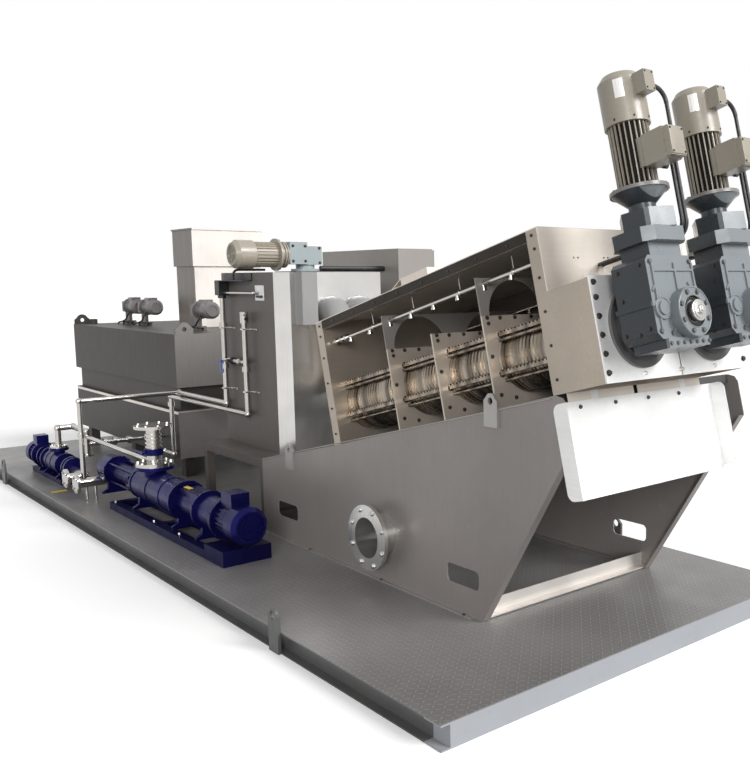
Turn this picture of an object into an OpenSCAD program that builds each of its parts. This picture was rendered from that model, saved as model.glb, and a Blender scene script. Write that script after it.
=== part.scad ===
// Multi-disc screw press skid: twin ring-stack screw press with its flocculation tank, polymer
// preparation tank, two progressive-cavity pumps and pipework on one checker-plate skid.
// Units are millimetres. +X runs along the skid to the discharge end, +Y to the far long side,
// +Z up, and the underside of the skid is z = 0.
// Positions called "deck" are measured from the near corner of the deck at the discharge end:
// x is 0 there and negative towards the polymer tank, y grows to the far side, z is above the deck.
// Positions called u, y, w belong to the inclined press: u along the screws, w square to them.

/* [View] */
// which sub-part to draw

/* [Skid] */
// length of the deck
deck_l = 7150; // [5000:10:9000]
// width of the deck
deck_w = 2260; // [1800:10:2600]
// thickness of the checker plate
deck_t = 5; // [3:1:10]
// height of the channel frame under the plate
channel_h = 100; // [80:1:200]
// width of a channel flange
channel_b = 48; // [40:1:80]
// thickness of the channel web and flanges
channel_t = 6; // [4:0.5:10]
// number of cross channels under the deck
cross_count = 8; // [4:1:12]
// width over a lifting lug of the skid
lug_w = 90; // [60:5:140]
// height of a skid lug above the deck
lug_rise = 100; // [60:5:160]
// thickness of a lug plate
lug_t = 15; // [8:1:25]
// radius of the eye in a lug
lug_eye_r = 22; // [12:1:35]
// deck x of the lugs near the discharge end
lug_x_front = -1225; // [-2000:5:-600]
// deck x of the lugs near the polymer tank
lug_x_rear = -5950; // [-6800:5:-5000]

/* [Press base] */
// deck y of the near side panel, outer face
press_y = 728; // [400:1:900]
// deck y of the far side panel, outer face
press_far_y = 1900; // [1600:5:2200]
// slope of the screws
incline = 14; // [8:0.5:20]
// deck x of the point about which the inclined frame is set
pivot_x = -1104; // [-1400:1:-800]
// height above the deck of that point
pivot_z = 855; // [600:1:1100]
// thickness of the side panels
panel_t = 5; // [3:1:10]
// width of the edge bent inwards round a side panel
panel_rim = 35; // [20:1:60]
// deck x of the front foot of a side panel
foot_x = -648; // [-900:1:-400]
// deck x of the front knee of a side panel
knee_x = -67; // [-300:1:100]
// height of the front knee
knee_z = 899; // [700:1:1000]
// deck x of the rear end of a side panel
panel_rear_x = -2785; // [-3200:1:-2400]
// height of the rear end of a side panel
panel_rear_z = 451; // [350:1:600]
// length of a cut-out at the foot of a side panel
window_l = 237; // [150:1:320]
// height of that cut-out
window_h = 90; // [50:1:140]
// corner radius of that cut-out
window_r = 25; // [10:1:40]
// height above the deck of the lower edge of a cut-out
window_z = 138; // [80:1:220]
// deck x of the left edge of the front cut-out
window_front_x = -909; // [-1100:1:-800]
// deck x of the left edge of the rear cut-out
window_rear_x = -2592; // [-2700:1:-2300]
// depth of the filtrate tray
tray_d = 40; // [30:1:80]
// deck x of the drain stub
drain_x = -1449; // [-1700:1:-1200]
// height of the drain centre above the deck
drain_z = 250; // [200:1:350]
// outer radius of the drain pipe
drain_r = 109.5; // [80:0.5:140]
// wall of the drain pipe
drain_wall = 4; // [2:0.5:8]
// length of the drain stub in front of the panel
drain_l = 104; // [60:1:160]
// radius of the drain flange
drain_flange_r = 170; // [130:1:200]
// thickness of the drain flange
drain_flange_t = 20; // [12:1:30]
// pitch circle diameter of the flange bolts
drain_pcd = 295; // [240:1:340]
// radius of a flange bolt hole
drain_hole_r = 11; // [7:0.5:14]
// number of flange bolt holes
drain_holes = 8; // [4:4:12]

/* [Casing] */
// u of the rear end of the casing
case_u0 = -826; // [-1000:1:-700]
// u of the front end of the casing
case_u1 = 1018; // [900:1:1200]
// width of the casing
case_w = 914; // [800:1:1172]
// height of the casing square to the slope
case_h = 680; // [500:1:800]
// thickness of the casing sheet
case_t = 4; // [2:0.5:8]
// width of the frame strips round the open side
strip_w = 45; // [25:1:80]
// u of the inner face of the rear wall
wall_u = -760; // [-800:1:-600]
// u of the first partition plate
plate_u = -201; // [-300:1:-100]
// distance between the partition plates
plate_pitch = 384; // [300:1:450]
// u of the rear end of the hatch frame on the roof
hatch_u = -10; // [-100:1:200]
// length of that frame
hatch_l = 225; // [150:1:300]
// distance of that frame from the near edge of the roof
hatch_y = 32; // [10:1:80]
// width of that frame
hatch_b = 200; // [120:1:300]
// height of that frame
hatch_h = 44; // [30:1:80]
// number of partition plates
plate_count = 3; // [2:1:4]
// thickness of a partition plate
plate_t = 10; // [6:1:20]
// height of a partition plate
plate_h = 413; // [360:1:480]
// height at which the front plate begins
front_w0 = 417; // [350:1:480]

/* [Ring stacks] */
// distance of a screw axis from the outer face of the near panel
axis_y = 228; // [190:1:260]
// height of the screw axes in the inclined frame
axis_w = 210; // [160:1:260]
// outer radius of a fixed ring
ring_r = 150; // [120:1:175]
// bore radius of the rings
bore_r = 126; // [100:1:140]
// thickness of a fixed ring
ring_t = 12; // [6:1:20]
// gap between two fixed rings, filled by a moving ring
ring_gap = 12; // [6:1:20]
// depth of the gaps between the fixed rings
ring_depth = 14; // [6:1:20]
// how far a moving ring stands out on one side
ring_swing = 5; // [2:1:8]
// clearance between a moving ring and the bottom of its gap
ring_clear = 0.3; // [0.2:0.1:1]
// outer radius of the screw flight
flight_r = 120; // [100:1:125]
// pitch of the screw flight
flight_pitch = 192; // [120:1:240]
// thickness of the screw flight along the axis
flight_t = 12; // [6:1:20]
// radius of the screw core
core_r = 55; // [35:1:75]
// radius of the screw shaft at its ends
shaft_r = 38; // [25:1:50]
// u of the rear end of the shaft
shaft_u0 = -800; // [-840:1:-770]
// u of the front end of the shaft
shaft_u1 = 1568; // [1540:1:1600]
// running clearance round a shaft
run_clear = 0.4; // [0.3:0.1:2]
// radius of a tie rod of a ring stack
rod_r = 8; // [5:1:14]
// across from the axis to the tie rods
rod_y = 138; // [110:1:160]
// up or down from the axis to the tie rods
rod_w = 90; // [70:1:120]
// width of a toothed rail
rail_b = 26; // [16:1:40]
// height of a toothed rail
rail_h = 22; // [12:1:36]

/* [Discharge and drives] */
// u of the front face of the discharge boxes
box_u1 = 1250; // [1150:1:1350]
// gap between the two discharge boxes
box_gap = 28; // [10:1:60]
// thickness of a drive mounting plate
mount_t = 8; // [5:1:20]
// gap between the two mounting plates
mount_gap = 8; // [4:1:20]
// radius of the round bearing plate
disc_r = 166; // [140:1:190]
// thickness of the round bearing plate
disc_t = 32; // [20:1:50]
// height of the chute plate
chute_h = 397; // [300:1:450]
// how far the chute plate reaches past the casing on the far side
chute_over = 27; // [0:1:60]
// corner radius of the chute wings
wing_r = 35; // [10:1:60]
// w of the upper edge of the chute plate
chute_w1 = -37; // [-80:1:0]
// width of the bent wings of the chute
wing_w = 78; // [50:1:110]
// radius of the half-round cut-outs of the roof brackets
arch_r = 168; // [140:1:200]
// w of the centre of those cut-outs
arch_w = 406; // [380:1:430]
// w of the top of the roof brackets
arch_top = 585; // [540:1:640]
// w of the spray pipes
spray_w = 560; // [500:1:640]
// distance of a spray pipe from the side of the casing
spray_y = 62; // [40:1:100]
// radius of the spray pipes
spray_r = 10; // [6:1:16]
// distance from the mounting plate to the rear of a gear case
gear_gap = 74; // [50:1:110]
// length of a gear case along u
gear_l = 173; // [140:1:220]
// width of a gear case
gear_b = 287; // [240:1:330]
// how far a gear case reaches to the near side of its shaft
gear_near = 181; // [150:1:210]
// w of the underside of a gear case
gear_w0 = 120; // [80:1:160]
// w of the top of a gear case
gear_w1 = 436; // [380:1:480]
// radius of the output flange
out_r = 97; // [80:1:120]
// length of the output flange
out_l = 45; // [25:1:70]
// distance from the screw axis to the motor axis
motor_off = 34; // [0:1:80]
// u of the motor axis
motor_u = 1417; // [1350:1:1480]
// w of the motor flange
motor_w0 = 703; // [650:1:760]
// w of the top of the fan cowl
motor_w1 = 1166; // [1050:1:1250]
// radius of the motor body
motor_r = 81; // [75:1:110]
// radius of the fan cowl
cowl_r = 91; // [90:1:120]
// share of the motor length taken by the fan cowl
cowl_share = 0.43; // [0.3:0.01:0.6]
// depth of the large terminal box of a drive motor
term_d = 145; // [80:1:220]
// width of the terminal box
term_b = 86; // [60:1:140]
// height of its lower face above the motor flange
term_z = 78; // [40:1:160]
// radius of a drive cable
cable_r = 8; // [5:1:12]
// radius of the motor flange
motor_flange_r = 117; // [100:1:150]

/* [Flocculation tank] */
// deck x of the front face of the tank
floc_x1 = -2830; // [-3000:1:-2700]
// length of the tank
floc_l = 830; // [600:5:1000]
// deck y of the near face of the tank
floc_y0 = 910; // [800:1:1000]
// width of the tank
floc_w = 747; // [600:1:900]
// height above the deck of the tank top
floc_z1 = 1605; // [1400:1:1800]
// size of the bevel at the near front corner
floc_bevel = 75; // [40:1:120]
// thickness of the tank sheet
tank_t = 5; // [3:1:8]
// deck x of the rear end of the stand
stand_x0 = -3675; // [-3900:1:-3400]
// section of the stand legs
leg_s = 50; // [40:1:80]
// depth of the stand rim
stand_rim = 55; // [40:1:80]
// radius of the feed elbows
elbow_r = 92; // [70:1:110]
// radius of the upright feed pipes
feed_r = 72; // [50:1:90]
// centre-line radius of the feed bends
bend_r = 108; // [100:1:160]
// deck x of the upright feed pipes
feed_x = -2715; // [-2815:1:-2615]
// height of the feed pipes at the tank
feed_z = 1358; // [1250:1:1420]
// deck y of the near feed pipe
feed_y0 = 1270; // [1200:1:1340]
// distance between the two feed pipes
feed_pitch = 213; // [200:1:400]
// deck y of the near edge of the overflow duct
duct_y0 = 1016; // [1000:1:1100]
// width of the overflow duct
duct_w = 108; // [80:1:160]
// depth of the overflow duct
duct_d = 96; // [50:1:120]
// height of the open lower end of the overflow duct
duct_z0 = 1275; // [1100:1:1400]
// deck x of the stirrer drive
stir_x = -3200; // [-3300:1:-3050]
// height of the stirrer motor's axis
stir_z = 1722; // [1690:1:1780]
// radius of the stirrer motor's cowl
stir_r = 92; // [70:1:110]

/* [Polymer tank] */
// deck x of the rear end of the polymer tank
poly_x0 = -7120; // [-7140:1:-6900]
// deck x of the front end of the polymer tank
poly_x1 = -4620; // [-4800:1:-4400]
// deck y of the near face of the upper body
poly_y0 = 940; // [860:1:1000]
// deck y of the far face of the upper body
poly_y1 = 2170; // [2000:1:2240]
// height above the deck of the tank floor
poly_z0 = 160; // [100:1:220]
// height of the ledge between the lower body and the neck
poly_ledge = 535; // [480:1:600]
// height of the lower edge of the upper body
poly_shelf = 722; // [650:1:780]
// height of the roof
poly_z1 = 1140; // [1050:1:1250]
// inset of the neck between the two bodies
poly_inset = 35; // [20:1:60]
// deck y of the stirrer drives on the polymer tank
agit_y = 1330; // [1200:1:1500]
// deck x of the first stirrer drive
agit_x0 = -6720; // [-7020:1:-6420]
// distance between the stirrer drives
agit_pitch = 420; // [270:1:570]
// height of the axis of those drives above the roof
agit_rise = 172; // [110:1:200]
// distance of the last agitator from the front face of the tank
agit_back = 470; // [300:1:700]
// radius of the stirrer motors
agit_r = 70; // [50:1:90]
// deck x of the front face of the hopper
hopper_x1 = -5512; // [-5700:1:-5400]
// length of the hopper
hopper_l = 430; // [280:1:580]
// deck y of the near face of the hopper
hopper_y0 = 1484; // [1420:1:1600]
// width of the hopper
hopper_w = 660; // [500:1:686]
// height above the deck of the seam between funnel and bin
hopper_z1 = 1679; // [1500:1:1800]
// height above the deck of the hopper top
hopper_z2 = 2010; // [1900:1:2150]
// how far the bin stands out over the funnel
hopper_step = 18; // [8:1:40]

/* [Cabinet] */
// deck x of the front end of the cabinet
cab_x1 = -3000; // [-3100:1:-2900]
// length of the cabinet
cab_l = 1050; // [800:1:1200]
// depth of the cabinet
cab_d = 320; // [250:1:340]
// height of the cabinet above the deck
cab_h = 1772; // [1600:1:1900]
// height of the cabinet's plinth
plinth_h = 80; // [50:1:120]
// gap between the cabinet and the far edge of the deck
cab_edge = 15; // [5:1:40]

/* [Pumps] */
// deck y of the near pump axis
pump_y = 346; // [280:1:420]
// deck x of the motor end of the near pump
pump_x1 = -2165; // [-2400:1:-2000]
// height of the near pump axis above the deck
pump_z = 213; // [180:1:260]
// radius of the suction housing
pump_r = 105; // [90:1:120]
// radius of the near pump motor's cowl
pump_motor_r = 108; // [90:1:120]
// length of the near pump motor
pump_motor_l = 289; // [240:1:360]
// length of the gear and lantern between motor and suction housing
lantern_l = 574; // [450:1:650]
// length of the suction housing
suction_l = 690; // [550:1:750]
// length of the stator tube
stator_l = 522; // [400:1:600]
// length of the end housing
end_l = 172; // [120:1:220]
// distance of the port from the rear end of the suction housing
port_back = 173; // [130:1:260]
// height of the port flange above the pump axis
port_h = 144; // [120:1:180]
// radius of the port flange
port_r = 122; // [110:1:130]
// pitch circle diameter of the inlet flange bolts
inlet_pcd = 190; // [170:1:200]
// radius of an inlet flange bolt hole
inlet_hole_r = 9; // [7:0.5:11]
// height above the deck of the inlet flange, upper face
inlet_z = 625; // [560:1:700]
// height of the rails of the pump base
rail_z = 50; // [40:1:80]
// length of the near pump base
base_l = 1559; // [1300:1:1700]
// width of the near pump base
base_w = 284; // [240:1:300]
// distance of the base from the motor end of the near pump
base_x = 306; // [250:1:400]
// deck x of the outlet end of the far pump
far_x1 = -4900; // [-5000:1:-4800]
// deck y of the far pump axis
far_y = 235; // [200:1:280]
// length of the far pump with its motor
far_l = 1010; // [950:1:1150]
// height of the far pump axis above the deck
far_z = 150; // [130:1:200]
// radius of the pipework between the pumps
pipe_r = 34; // [20:1:40]
// radius of the pipe flanges
pipe_flange_r = 69; // [55:1:80]
// deck y of the near flange faces of the pipework
pipe_y0 = 95; // [70:1:130]
// deck x of the pipe to the near pump
pipe_x1 = -4400; // [-4420:1:-4300]
// deck x of the pipe to the far pump
pipe_x2 = -4640; // [-4750:1:-4600]
// radius of the dosing pipes
dose_r = 17; // [10:1:25]
// deck y of the dosing pipes in front of the tank
dose_y = 870; // [850:1:885]
// deck x of the longer upright dosing pipe
dose_x1 = -3576; // [-3640:1:-3500]
// deck x of the shorter upright dosing pipe
dose_x2 = -3254; // [-3320:1:-3180]
// height of the lower runs of the dosing pipes
dose_z = 715; // [680:1:760]

/* [Hidden] */
$fn = 48;
skid_h = channel_h + deck_t;
sa = sin(incline);
ca = cos(incline);
reach_x = pivot_x + shaft_u1 * ca - (axis_w - shaft_r) * sa;
shift_x = (deck_l - reach_x) / 2;
press_w = press_far_y - press_y;
screw_y = [press_y + axis_y, press_y + case_w - axis_y];
case_y1 = press_y + case_w;
floc_x0 = floc_x1 - floc_l;
ring_pitch = ring_t + ring_gap;
seat = 0.3;
far_pump_l = 760;
far_r = 80;
far_port_h = 112;
far_rail_z = 40;
case_x0 = pivot_x + case_u0 * ca;
case_z0 = pivot_z + case_u0 * sa;
chute_u = case_u1 + case_t;
chute_y0 = press_y - case_t;
chute_y1 = case_y1 + chute_over;
gear_u0 = box_u1 + mount_t + gear_gap;
gear_u1 = gear_u0 + gear_l;
agit_at = [agit_x0, agit_x0 + agit_pitch, poly_x1 - agit_back];
cab_y1 = deck_w - cab_edge;
cab_y0 = cab_y1 - cab_d;
port_x = pump_x1 - pump_motor_l - lantern_l - suction_l + port_back;
pump_x0 = pump_x1 - pump_motor_l - lantern_l - suction_l - stator_l - end_l;
port_z = pump_z + port_h;
stack_z1 = port_z + 24;
neck_l = 47;
ring_l = 42;
feed_y = [feed_y0, feed_y0 + feed_pitch];

// from the deck corner to the object's own frame
module on_deck() {
    translate([shift_x, -deck_w / 2, skid_h]) children();
}

// the inclined frame of the press
module inclined() {
    on_deck() translate([pivot_x, 0, pivot_z]) rotate([0, -incline, 0]) children();
}

// a cylinder along X from a to b
module bar_x(a, b, r) {
    translate([a, 0, 0]) rotate([0, 90, 0]) cylinder(h = b - a, r = r);
}

// a cylinder along Y from a to b
module bar_y(a, b, r) {
    translate([0, a, 0]) rotate([-90, 0, 0]) cylinder(h = b - a, r = r);
}

// a cylinder from p to q
module run(p, q, r) {
    d = q - p;
    translate(p) rotate([0, acos(d[2] / norm(d)), atan2(d[1], d[0])]) cylinder(h = norm(d), r = r);
}

// a quarter bend in the XY plane about the origin, starting at the angle a
module bend(centre_r, tube_r, a) {
    rotate([0, 0, a]) rotate_extrude(angle = 90) translate([centre_r, 0]) circle(r = tube_r);
}

// a box given by its two corners
module block(p, q) {
    translate(p) cube([q[0] - p[0], q[1] - p[1], q[2] - p[2]]);
}

// a rectangle with round corners
module round_rect(l, h, r) {
    union() {
        translate([r, 0]) square([l - 2 * r, h]);
        translate([0, r]) square([l, h - 2 * r]);
        for (x = [r, l - r])
            for (y = [r, h - r])
                translate([x, y]) circle(r = r);
    }
}

// lug outline with a round top and an eye, standing on y = 0
module lug_outline(w, h, eye) {
    difference() {
        intersection() {
            translate([-w / 2, 0]) square([w, h]);
            union() {
                translate([-w / 2, 0]) square([w, h - w * 0.36]);
                polygon([[-w / 2, h - w * 0.36], [w / 2, h - w * 0.36], [w * 0.34, h - w * 0.22],
                    [-w * 0.34, h - w * 0.22]]);
                translate([0, h - w * 0.36]) circle(r = w * 0.36);
            }
        }
        translate([0, h - w * 0.38]) circle(r = eye);
    }
}

// channel profile with the tips of its flanges at x = 0 and its back towards -x
module channel_outline() {
    polygon([[0, 0], [-channel_b, 0], [-channel_b, channel_h], [0, channel_h], [0, channel_h - channel_t],
        [channel_t - channel_b, channel_h - channel_t], [channel_t - channel_b, channel_t], [0, channel_t]]);
}

module skid_frame() {
    color([0.42, 0.42, 0.41])
    translate([shift_x, -deck_w / 2, 0]) {
        for (side = [0, 1])
            translate([0, side * deck_w, 0]) mirror([0, side, 0])
                rotate([90, 0, -90])
                    linear_extrude(height = deck_l) channel_outline();
        for (k = [0 : cross_count - 1])
            translate([-channel_t - k * (deck_l - channel_t - channel_b) / (cross_count - 1), 0, 0]) {
                block([0, channel_b - seat, 0], [channel_t, deck_w - channel_b + seat, channel_h]);
                block([-channel_b + channel_t, channel_b - seat, 0],
                    [seat, deck_w - channel_b + seat, channel_t]);
            }
    }
}

module deck_plate() {
    color([0.4, 0.39, 0.37])
    translate([shift_x - deck_l, -deck_w / 2, channel_h]) cube([deck_l, deck_w, deck_t]);
}

module skid_lugs() {
    color([0.45, 0.45, 0.44])
    translate([shift_x, -deck_w / 2, 0])
        for (side = [0, 1])
            for (x = [lug_x_front, lug_x_rear])
                translate([x, side * deck_w, 0]) mirror([0, side, 0])
                    rotate([90, 0, 0]) linear_extrude(height = lug_t)
                        lug_outline(lug_w, skid_h + lug_rise, lug_eye_r);
}

// side view of a side panel, x and z on the deck; the casing rests on its upper edge
module panel_outline() {
    nose_x = knee_x - 97;
    polygon([[foot_x, 0], [knee_x, knee_z], [knee_x - 40, knee_z + 160], [knee_x - 60, knee_z + 182],
        [nose_x, pivot_z + (nose_x - pivot_x) * sa / ca - 2], [nose_x - 20, pivot_z + (nose_x - 20 - pivot_x) * sa / ca],
        [case_x0, case_z0], [panel_rear_x, panel_rear_z], [panel_rear_x, 0]]);
}

module side_panel() {
    rotate([90, 0, 0]) translate([0, 0, -panel_t])
        linear_extrude(height = panel_t) difference() {
            panel_outline();
            translate([window_front_x, window_z]) round_rect(window_l, window_h, window_r);
            translate([window_rear_x, window_z]) round_rect(window_l, window_h, window_r);
        }
    // bent front edge
    slope = atan2(knee_x - foot_x, knee_z);
    translate([foot_x, 0, 0]) rotate([0, slope, 0])
        translate([-panel_t, panel_t - seat, panel_t])
            cube([panel_t, panel_rim, knee_z / cos(slope) - 2 * panel_t]);
    // bent foot
    block([panel_rear_x, panel_t - seat, 0], [foot_x - panel_t, panel_t + panel_rim, panel_t]);
}

module press_panel_near() {
    color([0.5, 0.5, 0.49])
    on_deck() difference() {
        translate([0, press_y, 0]) side_panel();
        translate([drain_x, press_y, drain_z]) bar_y(-1, panel_t + 1, drain_r + seat);
    }
}

module press_panel_far() {
    color([0.5, 0.5, 0.49])
    on_deck() translate([0, press_far_y, 0]) mirror([0, 1, 0]) side_panel();
}

module base_bars() {
    color([0.72, 0.72, 0.73])
    on_deck() {
        // low front bar between the feet
        block([foot_x - 60, press_y + panel_t, panel_t], [foot_x - 55, press_far_y - panel_t, 75]);
        block([foot_x - 60, press_y + panel_t, panel_t], [foot_x - 10, press_far_y - panel_t, 2 * panel_t]);
        // sheet across the rear end
        block([panel_rear_x, press_y + panel_t, panel_t],
            [panel_rear_x + panel_t, press_far_y - panel_t, panel_rear_z]);
        // cross beams that carry the tray
        for (x = [case_x0 - 60, pivot_x - 400, foot_x - 50])
            block([x, press_y + panel_t, pivot_z + (x - pivot_x) * tan(incline) - tray_d / ca - 60],
                [x + 60, press_far_y - panel_t, pivot_z + (x - pivot_x) * tan(incline) - tray_d / ca]);
    }
}

module filtrate_tray() {
    color([0.36, 0.36, 0.36])
    inclined() {
        tray_u1 = case_u1 - 58;
        difference() {
            block([case_u0, press_y + panel_t + seat, -tray_d], [tray_u1, press_far_y - panel_t - seat, 0]);
            block([case_u0 + panel_t, press_y + 2 * panel_t, -tray_d + panel_t],
                [tray_u1 - panel_t, press_far_y - 2 * panel_t, 1]);
        }
    }
}

module drain_stub() {
    color([0.72, 0.72, 0.73])
    on_deck() translate([drain_x, press_y, drain_z]) difference() {
        union() {
            bar_y(-drain_l, 300, drain_r);
            bar_y(-drain_l, -drain_l + drain_flange_t, drain_flange_r);
        }
        bar_y(-drain_l - 1, 301, drain_r - drain_wall);
        for (k = [0 : drain_holes - 1])
            rotate([0, (k + 0.5) * 360 / drain_holes, 0]) translate([drain_pcd / 2, 0, 0])
                bar_y(-drain_l - 1, -drain_l + drain_flange_t + 1, drain_hole_r);
    }
}

module press_lugs() {
    color([0.52, 0.52, 0.51])
    on_deck()
        for (side = [0, 1])
            for (p = [[-2415, panel_rear_z + 145], [-565, 1063]])
                translate([0, press_y + side * press_w, 0]) mirror([0, side, 0])
                    translate([p[0], 0, p[1] - 150]) rotate([90, 0, 0]) linear_extrude(height = 12)
                        lug_outline(90, 150, 16);
}

module casing_frame() {
    color([0.74, 0.73, 0.71])
    inclined() {
        y0 = press_y;
        strip_d = 30;
        post_w = 66;
        // strips round the open near side
        block([case_u0, y0, 0], [case_u0 + post_w, y0 + strip_d, case_h]);
        block([case_u1 - post_w, y0, 0], [case_u1, y0 + strip_d, case_h]);
        block([case_u0 + post_w - seat, y0, case_h - strip_w], [case_u1 - post_w + seat, y0 + strip_d, case_h]);
        // rear wall with its two inlet openings
        difference() {
            block([wall_u - 12, y0 + strip_d - seat, 0], [wall_u, case_y1 - case_t, case_h]);
            for (y = screw_y)
                translate([0, y, axis_w]) bar_x(wall_u - 20, wall_u + 10, bore_r);
        }
        // rear sheet with the two feed openings
        difference() {
            block([case_u0, y0 + strip_d - seat, 0], [case_u0 + 8, case_y1 - case_t, case_h]);
            for (y = feed_y)
                translate([0, y, axis_w]) bar_x(case_u0 - 1, case_u0 + 9, feed_r - 4);
        }
        // front wall behind the discharge boxes
        difference() {
            block([case_u1 - 12, y0 + strip_d - seat, 0], [case_u1, case_y1 - case_t, front_w0]);
            for (y = screw_y)
                translate([0, y, axis_w]) bar_x(case_u1 - 20, case_u1 + 10, bore_r);
        }
    }
}

module casing_roof() {
    color([0.6, 0.58, 0.55])
    inclined() {
        block([case_u0, press_y, case_h], [case_u1 + 6, case_y1, case_h + case_t]);
        // open inspection frame on the roof
        difference() {
            block([hatch_u, press_y + hatch_y, case_h + case_t - seat],
                [hatch_u + hatch_l, press_y + hatch_y + hatch_b, case_h + case_t + hatch_h]);
            block([hatch_u + case_t, press_y + hatch_y + case_t, case_h + case_t],
                [hatch_u + hatch_l - case_t, press_y + hatch_y + hatch_b - case_t, case_h + hatch_h + 10]);
        }
        // its lid, folded back along the rear edge
        translate([hatch_u, press_y + hatch_y, case_h + case_t + hatch_h - seat]) rotate([0, 160, 0])
            cube([hatch_l * 0.4, hatch_b, case_t]);
    }
}

module casing_far_side() {
    color([0.6, 0.58, 0.55])
    inclined()
        block([case_u0, case_y1 - case_t, 0], [case_u1, case_y1, case_h]);
}

module casing_front() {
    color([0.82, 0.82, 0.81])
    inclined()
        difference() {
            block([case_u1, press_y, front_w0], [case_u1 + 6, case_y1, case_h]);
            for (k = [0 : 3])
                for (side = [0, 25])
                    translate([0, press_y + case_w * 0.2 * (k + 1) + side, front_w0 + 140])
                        bar_x(case_u1 - 5, case_u1 + 10, 5);
        }
}

module partition_plates() {
    color([0.8, 0.79, 0.77])
    inclined()
        for (k = [0 : plate_count - 1])
            translate([plate_u + k * plate_pitch, 0, 0]) difference() {
                block([0, press_y + 12, 0], [plate_t, case_y1 - case_t, plate_h]);
                for (y = screw_y)
                    translate([0, y, axis_w]) bar_x(-1, plate_t + 1, bore_r);
            }
}

module roof_brackets() {
    color([0.5, 0.5, 0.5])
    inclined()
        for (k = [0, plate_count - 1])
            translate([plate_u + k * plate_pitch, 0, 0]) difference() {
                block([0, press_y + 12, plate_h], [6, case_y1 - case_t, arch_top]);
                for (y = screw_y)
                    translate([0, y, arch_w]) bar_x(-1, 7, arch_r);
                for (y = [press_y + spray_y, case_y1 - spray_y])
                    translate([0, y, spray_w]) {
                        bar_x(-1, 7, spray_r + 1);
                        block([-1, -spray_r - 4, -31], [7, spray_r + 4, 0]);
                    }
            }
}

// one ring stack from u0 to u1: rings, toothed rails and tie rods
module stack_segment(u0, u1) {
    n = floor((u1 - u0 - ring_t) / ring_pitch);
    margin = (u1 - u0 - n * ring_pitch - ring_t) / 2;
    spine_r = ring_r - ring_depth;
    translate([u0, 0, 0]) rotate([0, 90, 0]) rotate_extrude()
        polygon(concat([[bore_r, 0], [ring_r, 0], [ring_r, margin + ring_t]],
            [for (i = [0 : n - 1]) for (p = [[spine_r, margin + ring_t + i * ring_pitch],
                [spine_r, margin + (i + 1) * ring_pitch], [ring_r, margin + (i + 1) * ring_pitch],
                [ring_r, margin + (i + 1) * ring_pitch + ring_t]]) p],
            [[ring_r, u1 - u0], [bore_r, u1 - u0]]));
    difference() {
        for (sy = [-1, 1]) for (q = [[rod_y - 12, rod_w + 28], [rod_y + 16, 34 - rod_w]])
            translate([u0, sy * q[0] - rail_b / 2, q[1] - rail_h / 2]) rotate([-90, 0, 0])
                mirror([0, 1, 0]) linear_extrude(height = rail_b)
                    polygon(concat([[0, 0], [0, rail_h]],
                        [for (i = [0 : n - 1]) for (p = [[margin + ring_t + i * ring_pitch, rail_h],
                            [margin + ring_t + i * ring_pitch, rail_h - 7],
                            [margin + (i + 1) * ring_pitch, rail_h - 7],
                            [margin + (i + 1) * ring_pitch, rail_h]]) p],
                        [[u1 - u0, rail_h], [u1 - u0, 0]]));
        bar_x(u0 - 1, u1 + 1, ring_r + ring_swing + 1);
    }
    for (sy = [-1, 1])
        for (sw = [-1, 1])
            translate([0, sy * rod_y, sw * rod_w]) bar_x(u0, u1, rod_r);
}

module ring_stack() {
    ends = concat([wall_u], [for (k = [0 : plate_count - 1]) plate_u + k * plate_pitch + plate_t]);
    stops = concat([for (k = [0 : plate_count - 1]) plate_u + k * plate_pitch], [case_u1 - 12]);
    for (k = [0 : plate_count])
        stack_segment(ends[k], stops[k]);
}

module ring_stack_near() {
    color([0.7, 0.68, 0.64])
    inclined() translate([0, screw_y[0], axis_w]) ring_stack();
}

module ring_stack_far() {
    color([0.7, 0.68, 0.64])
    inclined() translate([0, screw_y[1], axis_w]) ring_stack();
}

// moving rings of one segment: they lie in the gaps, each pushed a little further round
module rings_segment(u0, u1, turn) {
    n = floor((u1 - u0 - ring_t) / ring_pitch);
    margin = (u1 - u0 - n * ring_pitch - ring_t) / 2;
    spine_r = ring_r - ring_depth;
    for (i = [0 : n - 1])
        rotate([turn + i * 360 / 8, 0, 0])
            translate([u0 + margin + ring_t + i * ring_pitch, 0, ring_swing / 2]) difference() {
                bar_x(0, ring_gap, ring_r + ring_swing / 2);
                bar_x(-1, ring_gap + 1, spine_r + ring_swing / 2 + ring_clear);
            }
}

module moving_rings() {
    ends = concat([wall_u], [for (k = [0 : plate_count - 1]) plate_u + k * plate_pitch + plate_t]);
    stops = concat([for (k = [0 : plate_count - 1]) plate_u + k * plate_pitch], [case_u1 - 12]);
    for (k = [0 : plate_count])
        rings_segment(ends[k], stops[k], k * 50);
}

module moving_rings_near() {
    color([0.78, 0.76, 0.72])
    inclined() translate([0, screw_y[0], axis_w]) moving_rings();
}

module moving_rings_far() {
    color([0.78, 0.76, 0.72])
    inclined() translate([0, screw_y[1], axis_w]) moving_rings();
}

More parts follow.
